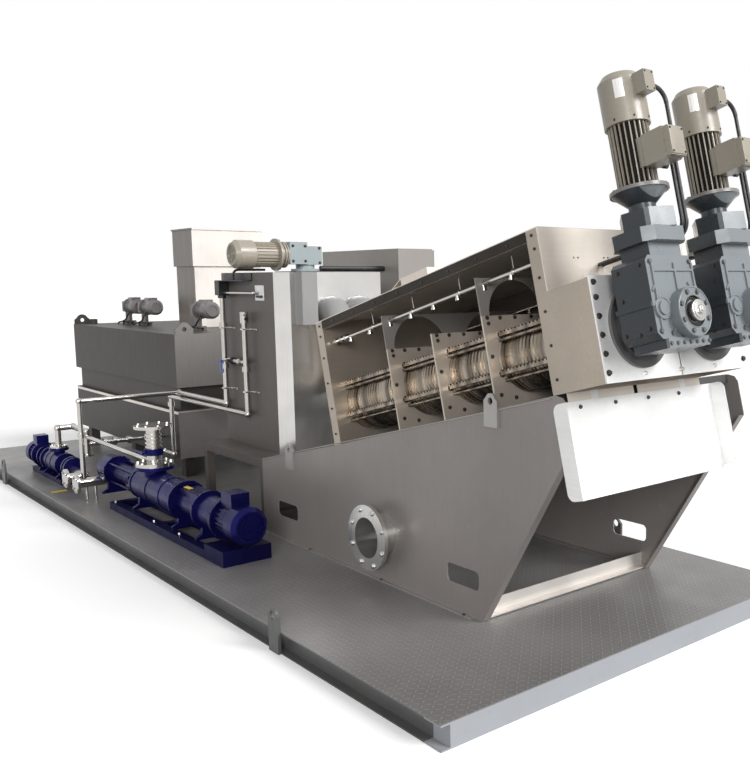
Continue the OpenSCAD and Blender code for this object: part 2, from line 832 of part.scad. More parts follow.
// the screw: core, end shafts and one helical flight
module screw() {
    flight_u0 = wall_u + 10;
    flight_u1 = case_u1 + 60;
    turns = (flight_u1 - flight_u0) / flight_pitch;
    wedge = 360 * flight_t / flight_pitch;
    bar_x(flight_u0 - 10, flight_u1 + 10, core_r);
    bar_x(shaft_u0, shaft_u1, shaft_r);
    translate([flight_u0, 0, 0]) rotate([0, 90, 0])
        linear_extrude(height = flight_u1 - flight_u0, twist = -360 * turns, slices = ceil(turns * 24), $fn = 6)
            polygon([[core_r - 2, 0], [flight_r, 0], [flight_r * cos(wedge / 2), flight_r * sin(wedge / 2)],
                [flight_r * cos(wedge), flight_r * sin(wedge)],
                [(core_r - 2) * cos(wedge), (core_r - 2) * sin(wedge)]]);
}

module screw_near() {
    color([0.75, 0.74, 0.72])
    inclined() translate([0, screw_y[0], axis_w]) screw();
}

module screw_far() {
    color([0.75, 0.74, 0.72])
    inclined() translate([0, screw_y[1], axis_w]) screw();
}

module spray_pipes() {
    color([0.8, 0.8, 0.8])
    inclined()
        for (y = [press_y + spray_y, case_y1 - spray_y])
            translate([0, y, spray_w]) {
                bar_x(wall_u, case_u1, spray_r);
                // union nuts at the rear end
                for (u = [20, 75, 120])
                    bar_x(wall_u + u, wall_u + u + 22, spray_r + 9);
                for (k = [0 : 8])
                    translate([wall_u + 170 + k * flight_pitch, 0, -30]) {
                        cylinder(h = 30, r = spray_r - 1);
                        cylinder(h = 10, r = spray_r + 3);
                    }
            }
}

module discharge_boxes() {
    color([0.72, 0.68, 0.62])
    inclined()
        for (side = [0, 1])
            translate([0, press_y + side * case_w, 0]) mirror([0, side, 0]) difference() {
                block([case_u1, 0, 0], [box_u1, (case_w - box_gap) / 2, front_w0]);
                block([case_u1 - 1, case_t, -1],
                    [box_u1 - case_t, (case_w - box_gap) / 2 - case_t, front_w0 - case_t]);
                translate([0, axis_y, axis_w]) bar_x(box_u1 - 20, box_u1 + 1, 70);
            }
}

module discharge_chute() {
    color([0.82, 0.81, 0.8])
    inclined() {
        w0 = chute_w1 - chute_h;
        block([case_u1, chute_y0, w0], [chute_u, chute_y1, chute_w1]);
        // wing bent back beside the near panel
        translate([case_u1 - wing_w, press_y, w0]) rotate([90, 0, 0]) linear_extrude(height = case_t) union() {
            round_rect(wing_w, chute_h, wing_r);
            translate([wing_w / 2, 0]) square([wing_w / 2 + case_t, chute_h]);
        }
        // wing bent forward on the far side
        translate([case_u1 + seat, chute_y1, w0 + 16]) rotate([90, 0, 0]) linear_extrude(height = case_t) union() {
            round_rect(wing_w + case_t, chute_h - 16, wing_r);
            square([wing_w / 2, chute_h - 16]);
        }
        // brackets up to the casing
        for (y = [press_y + 150, case_y1 - 190])
            block([case_u1 - 36, y, chute_w1 - 60], [case_u1 + seat, y + 40, 0]);
    }
}

module mounting_plates() {
    color([0.84, 0.83, 0.82])
    inclined()
        for (side = [0, 1])
            translate([0, press_y + side * case_w, 0]) mirror([0, side, 0]) {
                difference() {
                    block([box_u1, 0, 0], [box_u1 + mount_t, (case_w - mount_gap) / 2, front_w0 + 6]);
                    translate([0, axis_y, axis_w]) bar_x(box_u1 - 1, box_u1 + mount_t + 1, shaft_r + run_clear);
                }
            }
}

// flanged bearing housings between the plates and the gear units
module bearing_discs() {
    color([0.3, 0.3, 0.3])
    inclined()
        for (y = screw_y)
            translate([0, y, axis_w]) difference() {
                union() {
                    bar_x(box_u1 + mount_t, box_u1 + mount_t + disc_t * 0.45, disc_r);
                    bar_x(box_u1 + mount_t, box_u1 + mount_t + disc_t, disc_r - 30);
                }
                bar_x(box_u1, box_u1 + mount_t + disc_t + 1, shaft_r + run_clear);
            }
}

// parallel-shaft gear unit, its hollow output shaft on the axis of the screw
module gear_unit() {
    top = gear_w1 - axis_w;
    bottom = gear_w0 - axis_w;
    far = gear_b - gear_near;
    split = bottom + 0.42 * (gear_w1 - gear_w0);
    difference() {
        union() {
            translate([gear_u0, 0, 0]) rotate([90, 0, 90]) linear_extrude(height = gear_l)
                polygon([[-gear_near, bottom + 25], [-gear_near + 25, bottom], [far - 20, bottom], [far, bottom + 25],
                    [far, top - 150], [far - 11, top - 115], [far - 27, top - 85], [far - 27, top],
                    [-gear_near + 18, top], [-gear_near, top - 18]]);
            // split flange round the case
            translate([gear_u0 - 7, 0, 0]) rotate([90, 0, 90]) linear_extrude(height = gear_l + 14)
                polygon([[-gear_near - 7, split - 9], [far + 7, split - 9], [far + 7, split + 9], [-gear_near - 7, split + 9]]);
            // stiffening ribs of the front face
            for (y = [-gear_near + 22, -30, far - 30])
                block([gear_u1 - seat, y, bottom + 20], [gear_u1 + 7, y + 9, top - 30]);
            block([gear_u1 - seat, -gear_near + 22, top - 62], [gear_u1 + 7, far - 30, top - 54]);
            bar_x(box_u1 + mount_t + disc_t, gear_u0 + seat, disc_r * 0.5);
            bar_x(gear_u0, gear_u1 + out_l, out_r);
            // inspection cover
            translate([0, -out_r - 38, 24]) {
                bar_x(gear_u1 - 5, gear_u1 + 8, 42);
                bar_x(gear_u1 - 5, gear_u1 + 16, 26);
            }
            // foot with its row of bolts
            block([gear_u0 + 10, -gear_near + 40, bottom - 36], [gear_u1 + 12, far - 6, bottom + seat]);
        }
        bar_x(box_u1, gear_u1 + out_l + 1, shaft_r + run_clear);
        bar_x(gear_u1 + out_l - 10, gear_u1 + out_l + 1, out_r - 34);
    }
    // helical stages and neck
    translate([motor_u, -motor_off, 0]) {
        neck_h = 55;
        stage_h = 56;
        head_h = 74;
        lantern = motor_w0 - gear_w1 - neck_h - stage_h - head_h;
        block([-72, -92, top - seat], [72, 92, top + neck_h]);
        translate([0, 0, top + neck_h - seat]) linear_extrude(height = stage_h + seat)
            polygon([[-110, -84], [-72, -122], [72, -122], [110, -84], [110, 84], [72, 122], [-72, 122], [-110, 84]]);
        translate([8, 6, top + neck_h + stage_h - seat]) rotate([0, 0, 15]) cylinder(h = head_h + seat, r = 116, $fn = 6);
        translate([0, 0, top + neck_h + stage_h + head_h - seat]) {
            cylinder(h = lantern * 0.4 + seat, r = 54);
            translate([0, 0, lantern * 0.4]) cylinder(h = lantern * 0.6 + seat, r1 = 54, r2 = motor_flange_r - 8);
        }
    }
}

module gear_unit_near() {
    color([0.3, 0.34, 0.37])
    inclined() translate([0, screw_y[0], axis_w]) gear_unit();
}

module gear_unit_far() {
    color([0.3, 0.34, 0.37])
    inclined() translate([0, screw_y[1], axis_w]) gear_unit();
}

// flange motor with ribbed body, fan cowl and grille recess, axis along +Z from z = 0
module flange_motor(l, r, cowl, flange) {
    body_l = l * (1 - cowl_share);
    cylinder(h = 14, r = flange);
    cylinder(h = body_l, r = r - 8);
    for (k = [0 : 23])
        rotate([0, 0, k * 15]) translate([r - 12, -2.5, 14 - seat]) cube([12, 5, body_l - 14]);
    difference() {
        union() {
            translate([0, 0, body_l - seat]) cylinder(h = l - body_l - 26 + 2 * seat, r = cowl);
            translate([0, 0, l - 26]) cylinder(h = 26, r1 = cowl, r2 = cowl - 20);
        }
        translate([0, 0, l - 6]) cylinder(h = 7, r = cowl - 34);
    }
}

module drive_motor() {
    l = motor_w1 - motor_w0;
    translate([motor_u, -motor_off, motor_w0 - axis_w]) {
        flange_motor(l, motor_r, cowl_r, motor_flange_r);
        block([motor_r - 20, -term_b / 2, term_z], [motor_r + term_d - 10, term_b / 2, term_z + 112]);
        block([motor_r + 8, -term_b / 2 - 4, term_z - 4], [motor_r + term_d - 34, term_b / 2 + 4, term_z + 116]);
        block([cowl_r - 14, -28, l - 106], [cowl_r + 52, 28, l - 26]);
    }
}

module drive_motor_near() {
    color([0.62, 0.6, 0.55])
    inclined() translate([0, screw_y[0], axis_w]) drive_motor();
}

module drive_motor_far() {
    color([0.62, 0.6, 0.55])
    inclined() translate([0, screw_y[1], axis_w]) drive_motor();
}

module floc_stand() {
    color([0.5, 0.5, 0.49])
    on_deck() {
        z1 = panel_rear_z;
        block([stand_x0, press_y, z1 - 6], [panel_rear_x, press_far_y, z1]);
        block([stand_x0, press_y, z1 - stand_rim], [panel_rear_x, press_y + 6, z1 - 5]);
        block([stand_x0, press_far_y - 6, z1 - stand_rim], [panel_rear_x, press_far_y, z1 - 5]);
        block([stand_x0, press_y, z1 - stand_rim], [stand_x0 + 6, press_far_y, z1 - 5]);
        for (x = [stand_x0 + 6, panel_rear_x - leg_s])
            for (y = [press_y + 6, press_far_y - 6 - leg_s])
                block([x, y, 0], [x + leg_s, y + leg_s, z1 - 5]);
    }
}

// plan of the tank with its bevelled corner, shrunk by d
module floc_plan(d) {
    b = floc_bevel - d * 0.4;
    polygon([[floc_x0 + d, floc_y0 + d], [floc_x1 - d - b, floc_y0 + d], [floc_x1 - d, floc_y0 + d + b],
        [floc_x1 - d, floc_y0 + floc_w - d], [floc_x0 + d, floc_y0 + floc_w - d]]);
}

module floc_tank() {
    color([0.55, 0.55, 0.54])
    on_deck() difference() {
        translate([0, 0, panel_rear_z]) linear_extrude(height = floc_z1 - tank_t - panel_rear_z) floc_plan(0);
        translate([0, 0, panel_rear_z + tank_t]) linear_extrude(height = floc_z1) floc_plan(tank_t);
    }
}

module floc_roof() {
    color([0.55, 0.55, 0.54])
    on_deck() {
        translate([0, 0, floc_z1 - tank_t]) linear_extrude(height = tank_t) floc_plan(0);
        block([stir_x - 150, floc_y0 + 240, floc_z1 - seat], [stir_x + 150, floc_y0 + 520, floc_z1 + 8]);
    }
}

// stirrer motor lying along Y, its fan end towards the near side
module floc_drive() {
    color([0.64, 0.62, 0.56])
    on_deck() translate([stir_x, floc_y0 + 182, stir_z]) rotate([90, 0, 0]) {
        flange_motor(314, stir_r - 10, stir_r, stir_r + 14);
        block([-stir_r - 62, -40, 60], [-stir_r + 30, 40, 165]);
        translate([0, 0, -58]) cylinder(h = 58 + seat, r = stir_r - 14);
        for (k = [0 : 2])
            translate([0, 0, -54 + k * 18]) cylinder(h = 9, r = stir_r - 6);
    }
}

// stirrer gear case on its pedestal
module stirrer_gear() {
    color([0.6, 0.65, 0.7])
    on_deck() {
        gy = floc_y0 + 240;
        block([stir_x - 78, gy, stir_z - 62], [stir_x + 78, gy + 130, stir_z + 84]);
        block([stir_x - 72, gy + 130 - seat, stir_z - 66], [stir_x + 72, gy + 240, stir_z + 58]);
        translate([stir_x, gy + 150, floc_z1 + 8]) {
            cylinder(h = 16, r = 95);
            cylinder(h = stir_z - 62 - floc_z1 - 8 + seat, r = 62);
        }
    }
}

// grey bends from the tank down to the feed legs, and the open-bottomed duct beside them
module feed_elbows() {
    color([0.62, 0.63, 0.64])
    on_deck() difference() {
        block([floc_x1, duct_y0, duct_z0], [floc_x1 + duct_d, duct_y0 + duct_w, floc_z1]);
        block([floc_x1 - 1, duct_y0 + tank_t, duct_z0 - 1],
            [floc_x1 + duct_d - tank_t, duct_y0 + duct_w - tank_t, floc_z1 - tank_t]);
    }
    color([0.62, 0.63, 0.64])
    for (y = feed_y)
        on_deck() translate([0, y, feed_z]) {
            bar_x(floc_x1, feed_x - bend_r + seat, elbow_r - 1);
            translate([feed_x - bend_r, 0, -bend_r]) rotate([90, 0, 0]) bend(bend_r, elbow_r, 0);
        }
}

// stainless legs from the bends down and forward into the rear of the casing
module feed_legs() {
    color([0.78, 0.76, 0.72])
    on_deck() {
        z1 = feed_z - bend_r;
        // height at which the horizontal part meets the screw axis in the rear sheet
        z0 = pivot_z + case_u0 * sa + axis_w * ca;
        for (y = feed_y)
            translate([0, y, 0]) difference() {
                union() {
                    translate([feed_x, 0, z0 + bend_r]) cylinder(h = z1 - z0 - bend_r, r = feed_r);
                    translate([feed_x, 0, z1 - 26]) cylinder(h = 26, r = feed_r + 12);
                    translate([feed_x + bend_r, 0, z0 + bend_r]) rotate([90, 0, 0]) bend(bend_r, feed_r + 4, 180);
                    translate([0, 0, z0]) bar_x(feed_x + bend_r - seat, case_x0 + 60, feed_r);
                }
                translate([pivot_x, 0, pivot_z]) rotate([0, -incline, 0])
                    block([case_u0, -200, -100], [case_u0 + 300, 200, 600]);
            }
    }
}

module poly_tank_lower() {
    color([0.52, 0.52, 0.51])
    on_deck() {
        d = poly_inset;
        difference() {
            block([poly_x0, poly_y0, poly_z0], [poly_x1, poly_y1, poly_ledge]);
            block([poly_x0 + tank_t, poly_y0 + tank_t, poly_z0 + tank_t], [poly_x1 - tank_t, poly_y1 - tank_t, poly_ledge + 1]);
        }
        difference() {
            block([poly_x0 + d, poly_y0 + d, poly_ledge - tank_t], [poly_x1 - d, poly_y1 - d, poly_shelf]);
            block([poly_x0 + d + tank_t, poly_y0 + d + tank_t, poly_ledge - tank_t - 1], [poly_x1 - d - tank_t, poly_y1 - d - tank_t, poly_shelf + 1]);
        }
        difference() {
            block([poly_x0, poly_y0, poly_ledge - seat], [poly_x1, poly_y1, poly_ledge + tank_t]);
            block([poly_x0 + d + tank_t, poly_y0 + d + tank_t, poly_ledge - 1], [poly_x1 - d - tank_t, poly_y1 - d - tank_t, poly_ledge + tank_t + 1]);
        }
    }
}

module poly_feet() {
    color([0.45, 0.45, 0.44])
    on_deck()
        for (x = [poly_x0 + 60, (poly_x0 + poly_x1) / 2, poly_x1 - 140])
            for (y = [poly_y0 + 60, poly_y1 - 140])
                block([x, y, 0], [x + 80, y + 80, poly_z0]);
}

module poly_tank_upper() {
    color([0.55, 0.55, 0.54])
    on_deck()
        difference() {
            block([poly_x0, poly_y0, poly_shelf], [poly_x1, poly_y1, poly_z1 - tank_t]);
            block([poly_x0 + tank_t, poly_y0 + tank_t, poly_shelf + tank_t], [poly_x1 - tank_t, poly_y1 - tank_t, poly_z1]);
        }
}

module poly_roof() {
    color([0.55, 0.55, 0.54])
    on_deck() {
        block([poly_x0, poly_y0, poly_z1 - tank_t], [poly_x1, poly_y1, poly_z1]);
        // lifting lugs at the corners
        for (x = [poly_x0, poly_x1 - 12])
            for (y = [poly_y0 + 80, poly_y1 - 80])
                translate([x, y, poly_z1 - seat]) rotate([90, 0, 90]) linear_extrude(height = 12)
                    lug_outline(144, 92, 18);
        // filler neck near the rear end
        translate([poly_x0 + 90, poly_y0 + 160, poly_z1 - seat]) cylinder(h = 46, r = 34);
    }
}

module agitator_drives() {
    color([0.66, 0.63, 0.57])
    on_deck()
        for (x = agit_at)
            translate([x, agit_y, poly_z1]) {
                for (y = [-48, 28])
                    block([-40, y, 0], [40, y + 20, 22]);
                block([-50, -52, 21], [50, 52, 34]);
                cylinder(h = agit_rise - 30, r = 30);
                block([-42, -44, agit_rise - 52], [42, 44, agit_rise + 46]);
                translate([42 - seat, 0, agit_rise]) rotate([0, 90, 0]) {
                    cylinder(h = 14, r = agit_r - 14);
                    translate([0, 0, 14 - seat]) flange_motor(250, agit_r - 4, agit_r, agit_r + 6);
                }
                block([130, -agit_r * 0.6, agit_rise + agit_r - 30], [215, agit_r * 0.6, agit_rise + agit_r + 16]);
                block([-62, -26, agit_rise - 26], [-41, 26, agit_rise + 26]);
            }
}

module powder_hopper() {
    color([0.72, 0.69, 0.65])
    on_deck() {
        x0 = hopper_x1 - hopper_l;
        y1 = hopper_y0 + hopper_w;
        block([x0 + hopper_step, hopper_y0 + hopper_step, poly_z1],
            [hopper_x1 - hopper_step, y1 - hopper_step, hopper_z1 + seat]);
        block([x0, hopper_y0, hopper_z1], [hopper_x1, y1, hopper_z2 - 14]);
        block([x0 - 8, hopper_y0 - 8, hopper_z2 - 14 - seat], [hopper_x1 + 8, y1 + 8, hopper_z2]);
    }
}

// plain electrical cabinet on its plinth, doors to the far side
module control_cabinet() {
    color([0.55, 0.55, 0.54])
    on_deck() {
        x0 = cab_x1 - cab_l;
        block([x0 + 15, cab_y0 + 15, 0], [cab_x1 - 15, cab_y1 - 15, plinth_h + seat]);
        block([x0, cab_y0, plinth_h], [cab_x1, cab_y1 - 22, cab_h]);
        for (k = [0, 1])
            block([x0 + 6 + k * cab_l / 2, cab_y1 - 22 - seat, plinth_h + 8],
                [x0 - 6 + (k + 1) * cab_l / 2, cab_y1, cab_h - 8]);
    }
}

// black cables and hoses held at both ends
module drive_cables() {
    color([0.06, 0.06, 0.06])
    {
        // from the terminal box of each drive motor down to the casing front
        inclined()
            for (y = screw_y) {
                my = y - motor_off;
                for (k = [0, 1]) {
                    cy = my + 134 + k * 26;
                    cu = motor_u + motor_r - 6;
                    down = motor_w0 + term_z + 50;
                    low = front_w0 + 110;
                    turn = 60;
                    translate([cu, cy, low + turn]) cylinder(h = down - low - turn, r = cable_r);
                    translate([cu, cy - 30, down]) rotate([90, 0, 90]) bend(30, cable_r + 1, 0);
                    translate([cu, 0, down + 30]) bar_y(my + term_b / 2, cy - 30 + seat, cable_r);
                    translate([cu - turn, cy, low + turn]) rotate([90, 0, 0]) bend(turn, cable_r + 1, 270);
                    translate([0, cy, low]) bar_x(case_u1 + 6, cu - turn + seat, cable_r);
                }
                // loop from the small box at the cowl down to the terminal box
                loop_u = motor_u + cowl_r + 12;
                loop_y = my + 132;
                top = motor_w1 - 66;
                end = motor_w0 + term_z + 80;
                translate([loop_u, 0, top]) bar_y(my + 28, loop_y - 60 + seat, cable_r);
                translate([loop_u, loop_y - 60, top - 60]) rotate([90, 0, 90]) bend(60, cable_r + 1, 0);
                translate([loop_u, loop_y, end + 40]) cylinder(h = top - 60 - end - 40 + seat, r = cable_r);
                translate([loop_u, loop_y - 40, end + 40]) rotate([90, 0, 90]) bend(40, cable_r + 1, 270);
                translate([loop_u, 0, end]) bar_y(my + term_b / 2 + 4, loop_y - 40 + seat, cable_r);
            }
    }
    {
        // from the stirrer motor to the valves on the near face of the tank
        on_deck() {
            cx = stir_x - 190;
            cz = floc_z1 + 20;
            run([cx, floc_y0 + 190, cz], [cx, dose_y + 40, cz], cable_r);
            translate([cx, dose_y + 40, cz - 40]) rotate([90, 0, 90]) bend(40, cable_r, 90);
            run([cx, dose_y, cz - 40 + seat], [cx, dose_y, floc_z1 - 49], cable_r);
            // ribbed hose along the roof of the tank to the cabinet
            hr = 19;
            hx = stir_x + 10;
            hy = floc_y0 + 240 + 260;
            hz = floc_z1 + 8 + hr + seat;
            run([hx, hy, hz], [hx, cab_y0, hz], hr);
            for (k = [0 : 11])
                run([hx, hy + 12 + k * 21, hz], [hx, hy + 20 + k * 21, hz], hr + seat);
        }
    }
}

// valves and terminal block at the upper corner of the flocculation tank's near face
module dosing_valves() {
    color([0.1, 0.1, 0.1])
    on_deck() {
        // shelf bracket on the tank
        block([dose_x1 - 34, dose_y - 30, floc_z1 - 55], [dose_x1 + 380, floc_y0, floc_z1 - 49]);
        block([dose_x1 - 24, floc_y0 - 6, floc_z1 - 55], [dose_x1 + 380, floc_y0, floc_z1]);
        // coil and body of the valve
        block([dose_x1 - 34, dose_y - 34, floc_z1 - 150], [dose_x1 + 34, dose_y + 34, floc_z1 - 55]);
        translate([dose_x1, dose_y, floc_z1 - 170]) cylinder(h = 21, r = dose_r + 10);
    }
}

// legs of a pump: plates across the axis that widen to the base, zb below the axis
module pump_leg(r, zb, t) {
    rotate([90, 0, 90]) linear_extrude(height = t)
        polygon([[-r * 0.95, -zb], [r * 0.95, -zb], [r * 0.95, -zb + 10], [r * 0.6, -zb + 30], [r * 0.5, -r * 0.4],
            [-r * 0.5, -r * 0.4], [-r * 0.6, -zb + 30], [-r * 0.95, -zb + 10]]);
}

// progressive-cavity pump along X without its motor; it begins at x = 0 and runs to -x
// ll lantern, sl suction housing, tl stator, el end housing, ph port height, pr port radius, zb axis height
module cavity_pump(ll, sl, tl, el, r, ph, pr, pb, zb) {
    gear_l2 = ll * 0.42;
    bar_x(-16, 0, r * 1.12);
    bar_x(-gear_l2, -15, r * 0.88);
    bar_x(-gear_l2 - 16, -gear_l2 + seat, r * 1.1);
    bar_x(-ll, -gear_l2 - 15, r * 0.74);
    block([-ll + 30, -r * 0.55, 0], [-gear_l2 - 50, r * 0.55, r * 0.86]);
    bar_x(-ll - 18, -ll + seat, r * 1.16);
    bar_x(-ll - sl, -ll - 17, r);
    for (k = [0.3, 0.62])
        bar_x(-ll - sl * k - 12, -ll - sl * k, r * 1.04);
    translate([-ll - sl + pb, 0, 0]) {
        cylinder(h = ph, r = pr * 0.6);
        translate([0, 0, ph - 22]) cylinder(h = 22, r = pr);
    }
    bar_x(-ll - sl - 18, -ll - sl + seat, r * 1.05);
    bar_x(-ll - sl - tl, -ll - sl - 17, r * 0.6);
    bar_x(-ll - sl - tl - 18, -ll - sl - tl + seat, r);
    bar_x(-ll - sl - tl - el, -ll - sl - tl - 17, r * 0.93);
    for (x = [-gear_l2 - 12, -ll - 30, -ll - sl + 4, -ll - sl - tl - el * 0.5])
        translate([x, 0, 0]) pump_leg(r, zb, 26);
}

// pump motor along X from x = -l to x = 0 with its terminal box on top
module pump_motor(l, r) {
    translate([-l, 0, 0]) rotate([0, 90, 0]) flange_motor(l, r - 8, r, r + 10);
    block([-l + 40, -r * 0.5, r - 30], [-l * 0.42, r * 0.5, r + 62]);
}

module pump_near() {
    color([0.1, 0.1, 0.35])
    on_deck() translate([pump_x1 - pump_motor_l, pump_y, pump_z])
        cavity_pump(lantern_l, suction_l, stator_l, end_l, pump_r, port_h, port_r, port_back, pump_z - rail_z);
}

module pump_near_motor() {
    color([0.12, 0.12, 0.4])
    on_deck() translate([pump_x1, pump_y, pump_z]) pump_motor(pump_motor_l, pump_motor_r);
}

module pump_far() {
    color([0.1, 0.1, 0.35])
    on_deck() translate([far_x1, far_y, far_z]) mirror([1, 0, 0]) translate([far_pump_l, 0, 0]) {
        cavity_pump(200, 350, 150, far_pump_l - 700, far_r, far_port_h, 70, 150, far_z - far_rail_z);
        translate([far_l - far_pump_l - seat, 0, 0]) pump_motor(far_l - far_pump_l, far_r + 10);
    }
}

module pump_bases() {
    color([0.12, 0.12, 0.28])
    on_deck() {
        // near base: two rails, end pieces and the raised block under the motor
        x1 = pump_x1 - base_x;
        for (y = [pump_y - base_w / 2, pump_y + base_w / 2 - 60])
            block([x1 - base_l, y, 0], [x1, y + 60, rail_z]);
        for (x = [x1 - base_l, x1 - base_l / 2, x1 - 60])
            block([x, pump_y - base_w / 2 + 59, 0], [x + 60, pump_y + base_w / 2 - 59, rail_z]);
        block([x1, pump_y - base_w / 2, 0], [pump_x1 - 60, pump_y + base_w / 2, 88]);
        // far base
        for (y = [far_y - 58, far_y + 28])
            block([far_x1 - far_l + 80, y, 0], [far_x1 - 150, y + 30, far_rail_z]);
        for (x = [far_x1 - far_l + 80, far_x1 - 190])
            block([x, far_y - 29, 0], [x + 40, far_y + 29, far_rail_z]);
    }
}

// wafer valve on the near pump's port, with its lever
module port_valve() {
    color([0.1, 0.12, 0.45])
    on_deck() translate([port_x, pump_y, stack_z1 + neck_l]) {
        cylinder(h = ring_l, r = 60);
        translate([0, 0, ring_l / 2]) bar_y(-84, 0, 14);
        block([-150, -84, ring_l / 2 - 5], [-8, -72, ring_l / 2 + 5]);
    }
}

module manifold() {
    color([0.75, 0.75, 0.75])
    on_deck() {
        // stack on the near pump's port: flange, neck, and above the valve a union and the inlet flange
        translate([port_x, pump_y, 0]) {
            translate([0, 0, port_z]) cylinder(h = 24, r = port_r - 4);
            translate([0, 0, port_z]) cylinder(h = 24 + neck_l, r = 47);
            z0 = stack_z1 + neck_l + ring_l;
            difference() {
                union() {
                    translate([0, 0, z0]) cylinder(h = inlet_z - z0, r = 44);
                    for (k = [0 : 3])
                        translate([0, 0, z0 + 8 + k * 26]) cylinder(h = 12, r = 52);
                    translate([0, 0, inlet_z - 20]) cylinder(h = 20, r = port_r - 5);
                }
                for (k = [0 : 7])
                    rotate([0, 0, 22.5 + k * 45]) translate([inlet_pcd / 2, 0, inlet_z - 21])
                        cylinder(h = 22, r = inlet_hole_r);
            }
        }
        // pipe from that flange back to the far pump's suction pipe
        suct_z = port_z + 17;
        suct_x = far_x1 - 30;
        run([suct_x, pump_y, suct_z], [port_x - port_r + 20, pump_y, suct_z], 16);
        run([suct_x, pump_y, suct_z - 150], [suct_x, pump_y, suct_z + 40], 22);
        translate([suct_x, pump_y, suct_z - 150]) cylinder(h = 14, r = 46);
        translate([suct_x, pump_y, suct_z + 40]) sphere(r = 25);
        far_port_x = far_x1 - 360;
        run([far_port_x, far_y, far_z + far_port_h], [far_port_x, far_y, suct_z + 40], 22);
        translate([far_port_x, far_y, far_z + far_port_h]) cylinder(h = 16, r = 62);
        translate([far_port_x, far_y, suct_z + 40]) sphere(r = 27);
        run([far_port_x, far_y, suct_z + 40], [far_port_x, pump_y, suct_z + 40], 22);
        translate([far_port_x, pump_y, suct_z + 40]) sphere(r = 27);
        run([far_port_x, pump_y, suct_z + 40], [suct_x, pump_y, suct_z + 40], 22);
        // branch with unions to the polymer tank
        run([suct_x, pump_y, suct_z - 60], [suct_x, poly_y0, suct_z - 60], 18);
        for (y = [pump_y + 120, pump_y + 190, pump_y + 300])
            run([suct_x, y, suct_z - 60], [suct_x, y + 26, suct_z - 60], 30);
        // two outlets towards the near side of the deck
        outlet_z = far_z - 20;
        difference() {
            union() {
                run([pipe_x1, pipe_y0, outlet_z], [pipe_x1, pump_y, outlet_z], pipe_r);
                run([pipe_x1, pump_y - 70, outlet_z], [pipe_x1, pump_y, pump_z], pipe_r);
                run([pipe_x1, pipe_y0, outlet_z], [pipe_x1, pipe_y0 + 18, outlet_z], pipe_flange_r);
            }
            translate([0, pump_y, pump_z]) bar_x(pump_x0 - 1, pump_x0 + end_l + 40, pump_r * 0.93 + seat);
        }
        run([pipe_x2, pipe_y0, outlet_z], [pipe_x2, far_y, outlet_z], pipe_r);
        run([pipe_x2, pipe_y0, outlet_z], [pipe_x2, pipe_y0 + 18, outlet_z], pipe_flange_r);
        translate([pipe_x2, far_y, outlet_z]) sphere(r = pipe_r);
        run([far_x1, far_y, outlet_z], [pipe_x2, far_y, outlet_z], pipe_r);
        // small drains under the outlets
        for (y = [pipe_y0 + 75, pipe_y0 + 135])
            run([pipe_x1, y, 4], [pipe_x1, y, outlet_z], 9);
    }
}

